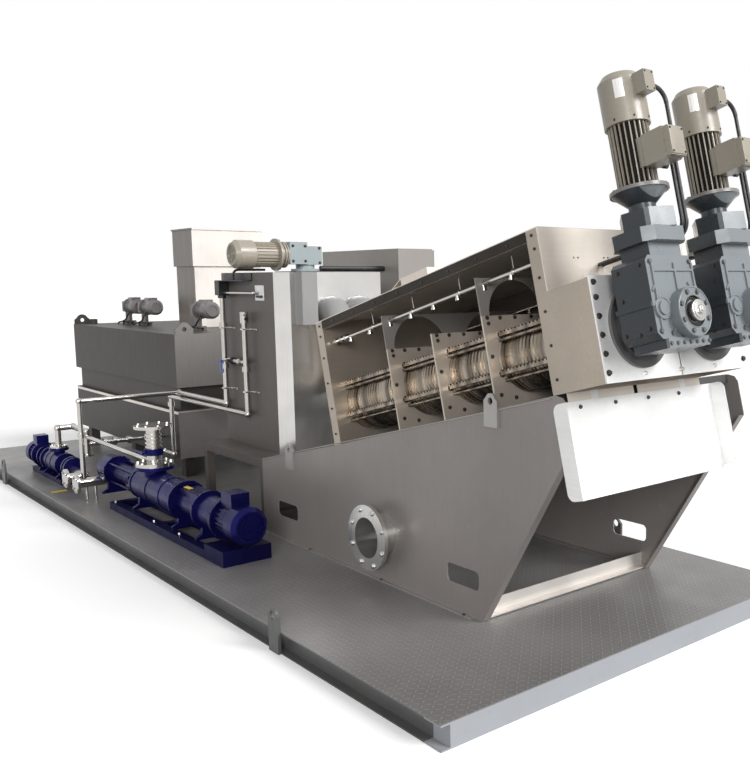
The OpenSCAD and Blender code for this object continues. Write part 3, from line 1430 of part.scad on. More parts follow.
module dosing_pipes() {
    color([0.8, 0.8, 0.8])
    on_deck() {
        z0 = dose_z;
        z1 = floc_z1 - 170;
        z2 = floc_z1 - 300;
        zc = floc_z1 - 590;
        xa = pipe_x1;
        xb = poly_x1 + 50;
        // upright pipes in front of the flocculation tank
        run([dose_x1, dose_y, z0], [dose_x1, dose_y, z1], dose_r);
        run([dose_x2, dose_y, z0], [dose_x2, dose_y, z2], dose_r);
        translate([dose_x2, dose_y, z2 - seat]) cylinder(h = 44, r = dose_r + 9);
        // cross link between them
        run([dose_x1, dose_y, zc], [dose_x2, dose_y, zc], dose_r - 3);
        for (x = [dose_x1 + 90, dose_x2 - 90])
            run([x, dose_y, zc], [x + 26, dose_y, zc], dose_r + 7);
        // thin pipe to the right at the top
        run([dose_x1 + 34, dose_y, floc_z1 - 132], [dose_x1 + 470, dose_y, floc_z1 - 132], 9);
        run([dose_x1 + 470, dose_y, floc_z1 - 132], [dose_x1 + 470, floc_y0, floc_z1 - 132], 9);
        translate([dose_x1 + 470, dose_y, floc_z1 - 132]) sphere(r = 12);
        // clamps on the tank
        for (x = [dose_x1, dose_x2])
            for (z = [z0 + 100, z0 + 515]) {
                block([x - 20, dose_y - dose_r - 4, z], [x + 20, floc_y0, z + 10]);
                block([x - 20, floc_y0 - 6, z], [x + 110, floc_y0, z + 10]);
            }
        // unions
        for (p = [[dose_x1, z0 + 240], [dose_x1, z1 - 200], [dose_x2, z0 + 240], [dose_x2, z2 - 30], [xa, z0 - 260],
            [xb, z0 - 120]])
            translate([p[0], p[0] == xa ? pipe_y0 + 60 : dose_y, p[1]]) cylinder(h = 34, r = dose_r + 9);
        // lower run to the outlet pipe
        for (q = [[dose_x1, dose_y], [dose_x2, dose_y], [xa, dose_y], [xa, pipe_y0 + 60], [xb, dose_y]])
            translate([q[0], q[1], z0 + (q[0] == xb || q[0] == dose_x2 ? -45 : 0)]) sphere(r = dose_r + 6);
        run([dose_x1, dose_y, z0], [xa, dose_y, z0], dose_r);
        run([xa, dose_y, z0], [xa, pipe_y0 + 60, z0], dose_r);
        run([xa, pipe_y0 + 60, z0], [xa, pipe_y0 + 60, far_z - 20 + pipe_r + seat], dose_r);
        // lower run to the polymer tank
        run([dose_x2, dose_y, z0 - 45], [dose_x2, dose_y, z0 + 1], dose_r);
        run([dose_x2, dose_y, z0 - 45], [xb, dose_y, z0 - 45], dose_r);
        run([xb, dose_y, z0 - 45], [xb, dose_y, poly_z0 + 60], dose_r);
        translate([xb, dose_y, poly_z0 + 60]) sphere(r = dose_r + 6);
        run([xb, dose_y, poly_z0 + 60], [xb - 170, dose_y, poly_z0 + 60], dose_r);
        translate([xb - 170, dose_y, poly_z0 + 60]) sphere(r = dose_r + 6);
        run([xb - 170, dose_y, poly_z0 + 60], [xb - 170, poly_y0, poly_z0 + 60], dose_r);
    }
}

skid_frame();
deck_plate();
skid_lugs();
press_panel_near();
press_panel_far();
base_bars();
filtrate_tray();
drain_stub();
press_lugs();
casing_frame();
casing_roof();
casing_far_side();
casing_front();
partition_plates();
roof_brackets();
ring_stack_near();
ring_stack_far();
moving_rings_near();
moving_rings_far();
screw_near();
screw_far();
spray_pipes();
discharge_boxes();
discharge_chute();
mounting_plates();
gear_unit_near();
gear_unit_far();
drive_motor_near();
drive_motor_far();
floc_stand();
floc_tank();
floc_roof();
floc_drive();
feed_elbows();
poly_feet();
poly_tank_lower();
poly_tank_upper();
poly_roof();
agitator_drives();
powder_hopper();
control_cabinet();
drive_cables();
bearing_discs();
stirrer_gear();
dosing_valves();
feed_legs();
pump_near();
pump_near_motor();
pump_far();
pump_bases();
port_valve();
manifold();
dosing_pipes();
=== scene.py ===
"""Looks of a skid-mounted multi-disc screw press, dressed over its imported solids.

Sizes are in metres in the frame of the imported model. Places are written in millimetres in two
working frames of the plant: the deck frame, with its origin at the near front corner of the deck
plate, and the slope frame (u up the slope, y across, w square to the slope) of the inclined press.
"""
import logging
import math
from collections.abc import Callable
from dataclasses import dataclass, field
from enum import Enum

import bmesh
import bpy
from mathutils import Matrix, Vector


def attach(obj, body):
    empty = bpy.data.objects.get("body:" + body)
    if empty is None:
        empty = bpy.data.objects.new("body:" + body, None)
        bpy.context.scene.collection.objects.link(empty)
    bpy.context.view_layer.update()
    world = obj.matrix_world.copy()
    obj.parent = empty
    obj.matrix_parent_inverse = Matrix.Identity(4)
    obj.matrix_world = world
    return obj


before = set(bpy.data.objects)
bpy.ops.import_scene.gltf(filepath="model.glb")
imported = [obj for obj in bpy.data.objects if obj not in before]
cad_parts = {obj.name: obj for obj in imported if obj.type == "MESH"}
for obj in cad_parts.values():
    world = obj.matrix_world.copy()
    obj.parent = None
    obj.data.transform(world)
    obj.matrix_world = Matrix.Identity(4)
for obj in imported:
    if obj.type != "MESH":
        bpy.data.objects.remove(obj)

LOG = logging.getLogger("screw_press")
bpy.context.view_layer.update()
SHIFT_X, HALF_WIDTH, SKID_HEIGHT = 3387.093, 1130.0, 105.0
INCLINE = math.radians(14.0)
PIVOT_X, PIVOT_Z = -1104.0, 855.0
SCREW_Y = (956.0, 1414.0)
AXIS_W = 210.0
MOTOR_U, MOTOR_OFF_Y = 1417.0, 34.0
PUMP_Y, PUMP_Z = 346.0, 213.0
STIRRER_X, STIRRER_Z = -3200.0, 1722.0
CREASE = math.radians(32)
BEVEL_FROM = 0.6

Socket = bpy.types.NodeSocket
Point = tuple[float, float, float]
Colour = tuple[float, float, float]
Zones = tuple[tuple[tuple[Point, Point], ...], ...]


def deck(x: float, y: float, z: float) -> Vector:
    """Turn a point of the deck frame, in millimetres, into model metres."""
    return Vector(((x + SHIFT_X) / 1000, (y - HALF_WIDTH) / 1000, (z + SKID_HEIGHT) / 1000))


def slope(u: float, y: float, w: float) -> Vector:
    """Turn a point of the slope frame, in millimetres, into model metres."""
    return deck(PIVOT_X + u * math.cos(INCLINE) - w * math.sin(INCLINE), y,
                PIVOT_Z + u * math.sin(INCLINE) + w * math.cos(INCLINE))


def slope_axis(u: float, y: float, w: float) -> Vector:
    """Turn a direction of the slope frame into a model direction."""
    return (slope(u, y, w) - slope(0, 0, 0)).normalized()


RIGHT, FAR, NEAR, UP = Vector((1, 0, 0)), Vector((0, 1, 0)), Vector((0, -1, 0)), Vector((0, 0, 1))
ALONG, LIFT = slope_axis(1, 0, 0), slope_axis(0, 0, 1)


def plane(place: Vector, way: Vector) -> tuple[Point, Point]:
    """Return a plane as plain numbers: a point on it and the way that counts as beyond."""
    return tuple(place), tuple(way)


def shade(colour: Colour, factor: float, lift: float = 0.0) -> Colour:
    """Return a colour made darker or lighter by a factor, with a little grey added."""
    return tuple(min(1.0, c * factor + lift) for c in colour)


class Body(Enum):
    """Moving bodies that a piece can ride on."""

    FRAME = "root"
    SCREW_NEAR = "screw_near_body"
    SCREW_FAR = "screw_far_body"


# ---------------------------------------------------------------- finishes


class Tree:
    """A node tree that is filled node by node."""

    def __init__(self, tree: bpy.types.NodeTree) -> None:
        """Empty the tree."""
        self.tree = tree
        tree.nodes.clear()

    def add(self, kind: str, **settings: object) -> bpy.types.Node:
        """Add a node and set its properties."""
        node = self.tree.nodes.new(kind)
        for name, value in settings.items():
            setattr(node, name, value)
        return node

    def join(self, value: object, target: Socket) -> None:
        """Link a socket to an input, or set the input to a plain value."""
        if isinstance(value, Socket):
            self.tree.links.new(value, target)
        else:
            target.default_value = value

    def maths(self, operation: str, first: object, second: object = 0.0,
              third: object = 0.0) -> Socket:
        """Return the result of a math node whose inputs are sockets or numbers."""
        node = self.add("ShaderNodeMath", operation=operation)
        for slot, value in enumerate((first, second, third)):
            self.join(value, node.inputs[slot])
        return node.outputs[0]

    def remap(self, value: Socket, low: float, high: float, out_low: float,
              out_high: float) -> Socket:
        """Return the value carried from one range to another, clamped."""
        node = self.add("ShaderNodeMapRange")
        for name, source in (("Value", value), ("From Min", low), ("From Max", high),
                             ("To Min", out_low), ("To Max", out_high)):
            self.join(source, node.inputs[name])
        return node.outputs["Result"]

    def seen(self) -> Socket:
        """Return 1 for rays that the camera sees, also mirrored or passed on, else 0."""
        path = self.add("ShaderNodeLightPath")
        passed = self.maths("MAXIMUM", path.outputs["Is Glossy Ray"], path.outputs["Is Transmission Ray"])
        return self.maths("MAXIMUM", path.outputs["Is Camera Ray"], passed)


class Graph(Tree):
    """The shader tree of a new material."""

    def __init__(self, name: str) -> None:
        """Start the material with its surface shader."""
        self.material = bpy.data.materials.new("finish_" + name)
        self.material.use_nodes = True
        super().__init__(self.material.node_tree)
        output = self.add("ShaderNodeOutputMaterial")
        self.shader = self.add("ShaderNodeBsdfPrincipled")
        self.join(self.shader.outputs[0], output.inputs["Surface"])
        self.place = self.add("ShaderNodeTexCoord").outputs["Object"]

    def feed(self, name: str, value: object) -> None:
        """Give an input of the surface shader its socket or value."""
        self.join(value, self.shader.inputs[name])

    def stretch(self, scale: Point) -> Socket:
        """Return the object coordinates scaled along each axis."""
        node = self.add("ShaderNodeMapping")
        self.join(scale, node.inputs["Scale"])
        self.join(self.place, node.inputs["Vector"])
        return node.outputs["Vector"]

    def noise(self, scale: float, detail: float = 3.0,
              at: Socket | None = None) -> Socket:
        """Return a noise value between 0 and 1.

        Args:
            scale: Cells per metre.
            detail: Octaves of the noise.
            at: Coordinates, the plain object coordinates if left out.

        Returns:
            The factor socket of the noise.
        """
        node = self.add("ShaderNodeTexNoise")
        for name, value in (("Scale", scale), ("Detail", detail), ("Vector", at or self.place)):
            self.join(value, node.inputs[name])
        return node.outputs["Fac"]

    def patches(self, scale: float, detail: float, low: float = 0.3, high: float = 0.7,
                most: float = 1.0) -> Socket:
        """Return a noise as patches.

        Args:
            scale: Cells per metre.
            detail: Octaves of the noise.
            low: Noise below which there is nothing.
            high: Noise above which a patch is full.
            most: Value of a full patch.

        Returns:
            The socket of the patches.
        """
        return self.remap(self.noise(scale, detail), low, high, 0.0, most)

    def blend(self, factor: Socket, first: object, second: object) -> Socket:
        """Return a colour between two colours.

        Args:
            factor: Share of the second colour.
            first: Colour or socket at 0.
            second: Colour or socket at 1.

        Returns:
            The mixed colour's socket.
        """
        node = self.add("ShaderNodeMix", data_type="RGBA")
        self.join(factor, node.inputs["Factor"])
        for slot, value in ((6, first), (7, second)):
            plain = not isinstance(value, Socket)
            self.join((*value, 1.0) if plain else value, node.inputs[slot])
        return node.outputs[2]

    def reach(self, way: Point) -> Socket:
        """Return how far the surface lies along a direction, in metres."""
        node = self.add("ShaderNodeVectorMath", operation="DOT_PRODUCT")
        self.join(self.place, node.inputs[0])
        self.join(way, node.inputs[1])
        return node.outputs["Value"]

    def two_tone_and_painted_light(self, base: Socket, cloud: Socket, other: Colour,
                 low: float, zones: Zones, blur: float = 0.0003) -> Socket:
        """Return the base colour, and another clouded colour in the zones, where most zones paint light or
        shade on chosen faces.

        Args:
            base: Colour outside the zones.
            cloud: Clouds that shade the other colour.
            other: Colour inside the zones.
            low: Factor of its darkest clouds.
            zones: Sets of planes; a zone lies beyond every plane of its set.
            blur: Half the width of the zones' edges in metres.

        Returns:
            The socket of the colour.
        """
        if not zones:
            return base
        whole: object = 0.0
        for zone in zones:
            part: object = 1.0
            for place, way in zone:
                edge = sum(a * b for a, b in zip(place, way))
                beyond = self.remap(self.reach(way), edge - blur, edge + blur, 0.0, 1.0)
                part = self.maths("MULTIPLY", part, beyond)
            whole = self.maths("MAXIMUM", whole, part)
        return self.blend(whole, base, self.blend(cloud, shade(other, low), other))

    def relief(self, height: Socket, distance: float, strength: float) -> None:
        """Bump the surface by a height between 0 and 1."""
        node = self.add("ShaderNodeBump")
        for name, value in (("Distance", distance), ("Strength", strength), ("Height", height)):
            self.join(value, node.inputs[name])
        self.feed("Normal", node.outputs["Normal"])

    def dust(self, amount: float, colour: Colour, base: Socket) -> Socket:
        """Return the base colour with dust on the faces that look up.

        Args:
            amount: Largest share of dust.
            colour: Colour of the dust.
            base: Colour under it.

        Returns:
            The dusted colour's socket.
        """
        split = self.add("ShaderNodeSeparateXYZ")
        self.join(self.add("ShaderNodeNewGeometry").outputs["Normal"], split.inputs[0])
        up = self.remap(split.outputs["Z"], 0.4, 1.0, 0.0, amount)
        patches = self.remap(self.noise(7.0, 5.0), 0.35, 0.7, 0.25, 1.0)
        return self.blend(self.maths("MULTIPLY", up, patches), base, colour)


@dataclass(frozen=True)
class Paint:
    """Sprayed coating with faint unevenness, scuffs and dust."""

    name: str
    colour: Colour
    roughness: float = 0.45
    unevenness: float = 0.12
    dust: float = 0.12
    gloss: float = 0.5
    zone_colour: Colour = (0.0, 0.0, 0.0)
    zones: Zones = ()

    def make(self) -> bpy.types.Material:
        """Build the coating's material."""
        graph = Graph(self.name)
        cloud = graph.patches(1.7, 4.0)
        low = 1 - self.unevenness
        tone = graph.blend(cloud, shade(self.colour, low), shade(self.colour, 1 + self.unevenness, 0.001))
        tone = graph.two_tone_and_painted_light(tone, cloud, self.zone_colour, low, self.zones)
        scuff = graph.patches(38.0, 6.0, 0.62, 0.78, 0.22)
        tone = graph.blend(scuff, tone, shade(self.colour, 1.5, 0.008))
        graph.feed("Base Color", graph.dust(self.dust, (0.42, 0.4, 0.37), tone))
        graph.feed("Roughness", graph.remap(graph.noise(16.0, 5.0), 0.3, 0.75,
                                            self.roughness - 0.07, self.roughness + 0.1))
        graph.feed("Specular IOR Level", self.gloss)
        graph.relief(graph.noise(520.0, 2.0), 0.0003, 0.25)
        return graph.material


@dataclass(frozen=True)
class Steel:
    """Stainless sheet, brushed along one axis, with bands of painted highlight and shade along the slope
    where asked.
    """

    name: str
    colour: Colour
    roughness: float = 0.3
    grain: Point = (2.0, 60.0, 320.0)
    metal: float = 0.85
    zone_colour: Colour = (0.0, 0.0, 0.0)
    zones: Zones = ()
    bands: float = 0.0

    def make(self) -> bpy.types.Material:
        """Build the steel's material."""
        graph = Graph(self.name)
        brushed = graph.noise(1.0, 3.0, graph.stretch(self.grain))
        cloud = graph.patches(2.4, 3.0)
        tone = graph.blend(cloud, shade(self.colour, 0.84), shade(self.colour, 1.08))
        tone = graph.two_tone_and_painted_light(tone, cloud, self.zone_colour, 0.9, self.zones)
        # lighter and darker bands along the slope: painted highlight and shade standing in for broad
        # reflections on the rings
        if self.bands:
            along = graph.add("ShaderNodeCombineXYZ")
            graph.join(graph.reach(ALONG), along.inputs["X"])
            wear_and_highlight_bands = graph.remap(graph.noise(13.0, 1.0, along.outputs[0]), 0.4, 0.6, 0.0, 1.0)
            tone = graph.blend(wear_and_highlight_bands, shade(self.colour, 1 - self.bands),
                               shade(self.colour, 1 + 1.6 * self.bands))
        streak = graph.remap(brushed, 0.35, 0.75, 0.0, 0.2)
        graph.feed("Base Color", graph.blend(streak, tone, shade(self.colour, 0.7)))
        graph.feed("Metallic", self.metal)
        graph.feed("Roughness", graph.remap(brushed, 0.2, 0.8,
                                            self.roughness - 0.04, self.roughness + 0.06))
        return graph.material


@dataclass(frozen=True)
class Satin:
    """Ground stainless sheet under a thin matt film, with faint clouds and upright grain."""

    name: str
    colour: Colour
    roughness: float = 0.4
    metal: float = 0.35
    film: float = 0.12
    gloss: float = 0.5
    zone_colour: Colour = (0.0, 0.0, 0.0)
    zones: Zones = ()

    def make(self) -> bpy.types.Material:
        """Build the sheet's material."""
        graph = Graph(self.name)
        cloud = graph.patches(1.3, 4.0)
        tone = graph.blend(cloud, shade(self.colour, 0.87), shade(self.colour, 1.1))
        tone = graph.two_tone_and_painted_light(tone, cloud, self.zone_colour, 0.9, self.zones)
        grain = graph.noise(1.6, 4.0, graph.stretch((150.0, 150.0, 4.0)))
        tone = graph.blend(graph.remap(grain, 0.35, 0.72, 0.0, 0.2), tone, shade(self.colour, 0.75))
        mark = graph.patches(24.0, 6.0, 0.66, 0.8, 0.2)
        tone = graph.blend(mark, tone, shade(self.colour, 1.5, 0.3 * self.film))
        graph.feed("Base Color", graph.dust(self.film, (0.4, 0.39, 0.37), tone))
        graph.feed("Metallic", self.metal)
        graph.feed("Specular IOR Level", self.gloss)
        graph.feed("Roughness", graph.remap(grain, 0.25, 0.75, self.roughness - 0.06, self.roughness + 0.1))
        graph.relief(grain, 0.0002, 0.2)
        return graph.material


@dataclass(frozen=True)
class Enamel:
    """Deep glossy enamel whose highlights keep its own hue."""

    name: str
    colour: Colour
    roughness: float = 0.3
    metal: float = 0.45
    gloss: float = 0.12

    def make(self) -> bpy.types.Material:
        """Build the enamel's material."""
        graph = Graph(self.name)
        tone = graph.blend(graph.patches(3.1, 4.0), shade(self.colour, 0.75), shade(self.colour, 1.2))
        wear = graph.patches(21.0, 6.0, 0.6, 0.78, 0.35)
        graph.feed("Base Color", graph.blend(wear, tone, shade(self.colour, 1.7)))
        graph.feed("Metallic", self.metal)
        graph.feed("Specular IOR Level", self.gloss)
        graph.feed("Roughness", graph.remap(graph.noise(12.0, 5.0), 0.3, 0.75,
                                            self.roughness - 0.06, self.roughness + 0.12))
        graph.relief(graph.noise(300.0, 2.0), 0.0003, 0.2)
        return graph.material


@dataclass(frozen=True)
class TreadPlate:
    """Painted floor plate with raised lozenges that lie across each other, a pitch in metres apart."""

    name: str
    colour: Colour
    pitch: float = 0.030
    shorten: float = 1.5
    narrow: float = 5.6

    def make(self) -> bpy.types.Material:
        """Build the floor plate's material."""
        graph = Graph(self.name)
        maths = graph.maths
        split = graph.add("ShaderNodeSeparateXYZ")
        graph.join(graph.place, split.inputs[0])
        x, y = (maths("MULTIPLY", split.outputs[axis], 1 / self.pitch) for axis in "XY")
        parity = maths("MODULO", maths("ABSOLUTE", maths("ADD", maths("FLOOR", x), maths("FLOOR", y))), 2.0)
        turn = maths("MULTIPLY_ADD", parity, 2.0, -1.0)
        dx = maths("SUBTRACT", maths("FRACT", x), 0.5)
        dy = maths("MULTIPLY", maths("SUBTRACT", maths("FRACT", y), 0.5), turn)
        along = maths("MULTIPLY", maths("ADD", dx, dy), self.shorten)
        across = maths("MULTIPLY", maths("SUBTRACT", dx, dy), self.narrow)
        reach = maths("ADD", maths("POWER", along, 2.0), maths("POWER", across, 2.0))
        raised = graph.remap(reach, 0.35, 1.0, 1.0, 0.0)
        tone = graph.blend(graph.patches(1.1, 4.0), shade(self.colour, 0.8), shade(self.colour, 1.2))
        wear_and_highlight_bands = maths("MULTIPLY", raised, 0.35)
        graph.feed("Base Color", graph.blend(wear_and_highlight_bands, tone, shade(self.colour, 1.9)))
        graph.feed("Roughness", graph.remap(graph.noise(5.0, 5.0), 0.3, 0.7, 0.3, 0.44))
        graph.relief(raised, 0.0016, 0.7)
        return graph.material


@dataclass(frozen=True)
class Rubber:
    """Matt or satin sheath and plastic."""

    name: str
    colour: Colour
    roughness: float = 0.5

    def make(self) -> bpy.types.Material:
        """Build the sheath's material."""
        graph = Graph(self.name)
        tone = graph.blend(graph.patches(30.0, 4.0, 0.35), self.colour, shade(self.colour, 1.5, 0.01))
        graph.feed("Base Color", graph.dust(0.1, (0.3, 0.29, 0.27), tone))
        graph.feed("Roughness", graph.remap(graph.noise(60.0, 3.0), 0.3, 0.7,
                                            self.roughness - 0.08, self.roughness + 0.08))
        graph.relief(graph.noise(700.0, 2.0), 0.0002, 0.3)
        return graph.material


# cells per metre of the grain of sheets that are brushed upright and level
UPRIGHT, LEVEL = (70.0, 70.0, 2.0), (70.0, 2.0, 70.0)


class Finish(Enum):
    """Every finish of the plant."""

    # lit and shaded copies of one paint: the lighter zone on the skid's front end is painted light, the
    # darker rest painted shade
    SKID = Paint("skid_paint", (0.1, 0.102, 0.1), 0.42, 0.1, 0.1, 0.35, (0.345, 0.36, 0.385),
                 ((plane(deck(-101, 0, 0), RIGHT),),))
    DECK = TreadPlate("deck_tread", (0.2, 0.192, 0.188))
    PANEL = Satin("panel_satin", (0.275, 0.251, 0.236), 0.4, 0.2)
    TANK = Satin("tank_satin", (0.115, 0.104, 0.096), 0.42, 0.05, 0.08, 0.25)
    # lit and shaded copies of one satin: the lighter zone on the polymer tank's front faces is painted
    # light, the darker rest painted shade
    TANK_FAR = Satin("tank_far_satin", (0.058, 0.053, 0.048), 0.42, 0.0, 0.02, 0.12, (0.24, 0.225, 0.215),
                     ((plane(deck(-4622, 0, 0), RIGHT),),))
    CABINET = Satin("cabinet_satin", (0.3, 0.28, 0.26), 0.42, 0.1)
    # the dark zones on the hopper's near faces are painted shade
    HOPPER = Steel("hopper_sheet", (0.78, 0.73, 0.68), 0.4, (60.0, 60.0, 2.0), 0.1, (0.17, 0.148, 0.132),
                   ((plane(deck(0, 1485, 0), NEAR),),
                    (plane(deck(0, 1503, 0), NEAR), plane(deck(0, 0, 1679), -UP))))
    TRAY = Paint("tray_paint", (0.05, 0.05, 0.05), 0.5)
    STEEL = Steel("steel_bright", (0.64, 0.63, 0.61), 0.2, UPRIGHT, 0.9)
    TUBE = Steel("tube_polished", (0.52, 0.5, 0.47), 0.16, (30.0, 30.0, 30.0), 0.95)
    STEEL_WARM = Steel("steel_warm", (0.42, 0.362, 0.3), 0.32, LEVEL, 0.5)
    # a lighter copy of the warm steel: painted light on the casing's front wall and on bright strips
    STEEL_FRONT = Steel("steel_front", (0.78, 0.71, 0.63), 0.34, LEVEL, 0.5)
    # the dark zone on the inner face of the casing's far side is painted shade inside the casing
    STEEL_DARK = Steel("steel_shade", (0.3, 0.26, 0.22), 0.36, (2.0, 60.0, 60.0), 0.4, (0.05, 0.044, 0.04),
                       ((plane(deck(0, 1641, 0), NEAR),),))
    # the dark zone on the roof's underside inside the casing is painted shade
    ROOF = Steel("steel_roof", (0.72, 0.65, 0.58), 0.34, LEVEL, 0.5, (0.055, 0.048, 0.043),
                 ((plane(slope(0, 0, 679), slope_axis(0, 0, -1)), plane(deck(0, 733, 0), FAR),
                   plane(deck(0, 1637, 0), NEAR)),))
    PLATE = Steel("plate_tan", (0.56, 0.49, 0.42), 0.36, (60.0, 60.0, 2.0), 0.4)
    # near-black finish of the strip that paints the shade on the casing's top strip under the roof
    FOLD = Enamel("edge_painted_shade", (0.042, 0.036, 0.031), 0.42, 0.3, 0.1)
    # the dark zone on the rear part of the bars is painted shade behind the near panel
    BASE_BAR = Steel("base_bar", (0.72, 0.68, 0.64), 0.34, LEVEL, 0.5, (0.04, 0.036, 0.033),
                     ((plane(deck(-1000, 0, 0), -RIGHT),),))
    LUG = Steel("lug_plate", (0.4, 0.385, 0.37), 0.36, UPRIGHT, 0.4)
    CHUTE = Steel("steel_chute", (0.88, 0.88, 0.87), 0.36, (2.0, 40.0, 90.0), 0.4)
    RING = Steel("ring_ground", (0.14, 0.117, 0.095), 0.26, (200.0, 12.0, 12.0), 0.85)
    # the moving rings and the ring stacks carry bands of painted highlight along the slope
    RING_BRIGHT = Steel("ring_highlight_bands", (0.22, 0.187, 0.152), 0.25, (200.0, 12.0, 12.0), 0.85, bands=0.45)
    BAR = Steel("bar_bronze", (0.2, 0.17, 0.138), 0.25, (60.0, 12.0, 12.0), 0.85, bands=0.45)
    # lit and shaded copies of one paint: the lighter zone on the gear units' front faces is painted light,
    # the dark rest painted shade
    GEAR = Paint("gear_slate", (0.035, 0.042, 0.048), 0.3, 0.12, 0.02, 0.35, (0.22, 0.242, 0.258),
                 ((plane(slope(1503.5, 0, 0), ALONG),),
                  (plane(slope(1487, 0, 0), ALONG), plane(slope(0, 0, 437), LIFT))))
    GEAR_LIGHT = Paint("gear_light", (0.3, 0.345, 0.36), 0.36, 0.08, 0.06)
    MOTOR = Paint("motor_beige", (0.32, 0.288, 0.235), 0.3, 0.08, 0.04)
    DRIVE = Paint("drive_beige", (0.31, 0.279, 0.228), 0.3, 0.08, 0.03, 0.5, (0.2, 0.19, 0.18),
                  ((plane(slope(0, 0, 717.6), slope_axis(0, 0, -1)),),))
    # near-black finish of a sleeve under the fins that paints the shade in the gaps between them
    MOTOR_SHADE = Enamel("motor_gap_painted_shade", (0.016, 0.014, 0.012), 0.6, 0.2, 0.05)
    AGITATOR = Paint("agitator_lilac", (0.16, 0.148, 0.148), 0.36, 0.1, 0.04)
    PIPE = Paint("pipe_grey", (0.25, 0.25, 0.246), 0.4, 0.06, 0.06)
    PUMP = Enamel("pump_blue", (0.008, 0.008, 0.085), 0.27, 0.5, 0.12)
    PUMP_BASE = Enamel("base_blue", (0.007, 0.007, 0.055), 0.34, 0.45, 0.1)
    CABLE = Rubber("cable_black", (0.006, 0.006, 0.007), 0.42)
    CAST = Paint("cast_grey", (0.1, 0.1, 0.098), 0.4, 0.1, 0.04)
    BOLT = Steel("bolt_bright", (0.6, 0.59, 0.57), 0.26, (90.0, 90.0, 90.0), 1.0)
    BOLT_DARK = Steel("bolt_dark", (0.05, 0.045, 0.04), 0.34, (90.0, 90.0, 90.0), 0.4)
    WHITE = Rubber("white_plastic", (0.8, 0.8, 0.79), 0.4)
    NAMEPLATE = Steel("bare_plate", (0.7, 0.69, 0.67), 0.3, (90.0, 90.0, 90.0), 0.7)
    YELLOW = Rubber("yellow_plate", (0.75, 0.5, 0.03), 0.4)
    BLUE_LEVER = Rubber("lever_blue", (0.02, 0.06, 0.32), 0.35)
    RED = Rubber("sight_red", (0.45, 0.02, 0.03), 0.3)

    @property
    def material(self) -> bpy.types.Material:
        """Return the finish's material, built at its first use."""
        found = bpy.data.materials.get("finish_" + self.value.name)
        return found or self.value.make()


# ---------------------------------------------------------------- making and placing


def seat_piece(piece: bpy.types.Object, finish: Finish, body: Body = Body.FRAME) -> bpy.types.Object:
    """Give a finished piece its material slot and its body.

    Args:
        piece: Object whose place is in its mesh.
        finish: Finish of the piece.
        body: Body that it moves with.

    Returns:
        The same object.
    """
    if not piece.data.materials:
        piece.data.materials.append(finish.material)
    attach(piece, body.value)
    LOG.info("%s: %d faces on %s", piece.name, len(piece.data.polygons), body.value)
    return piece


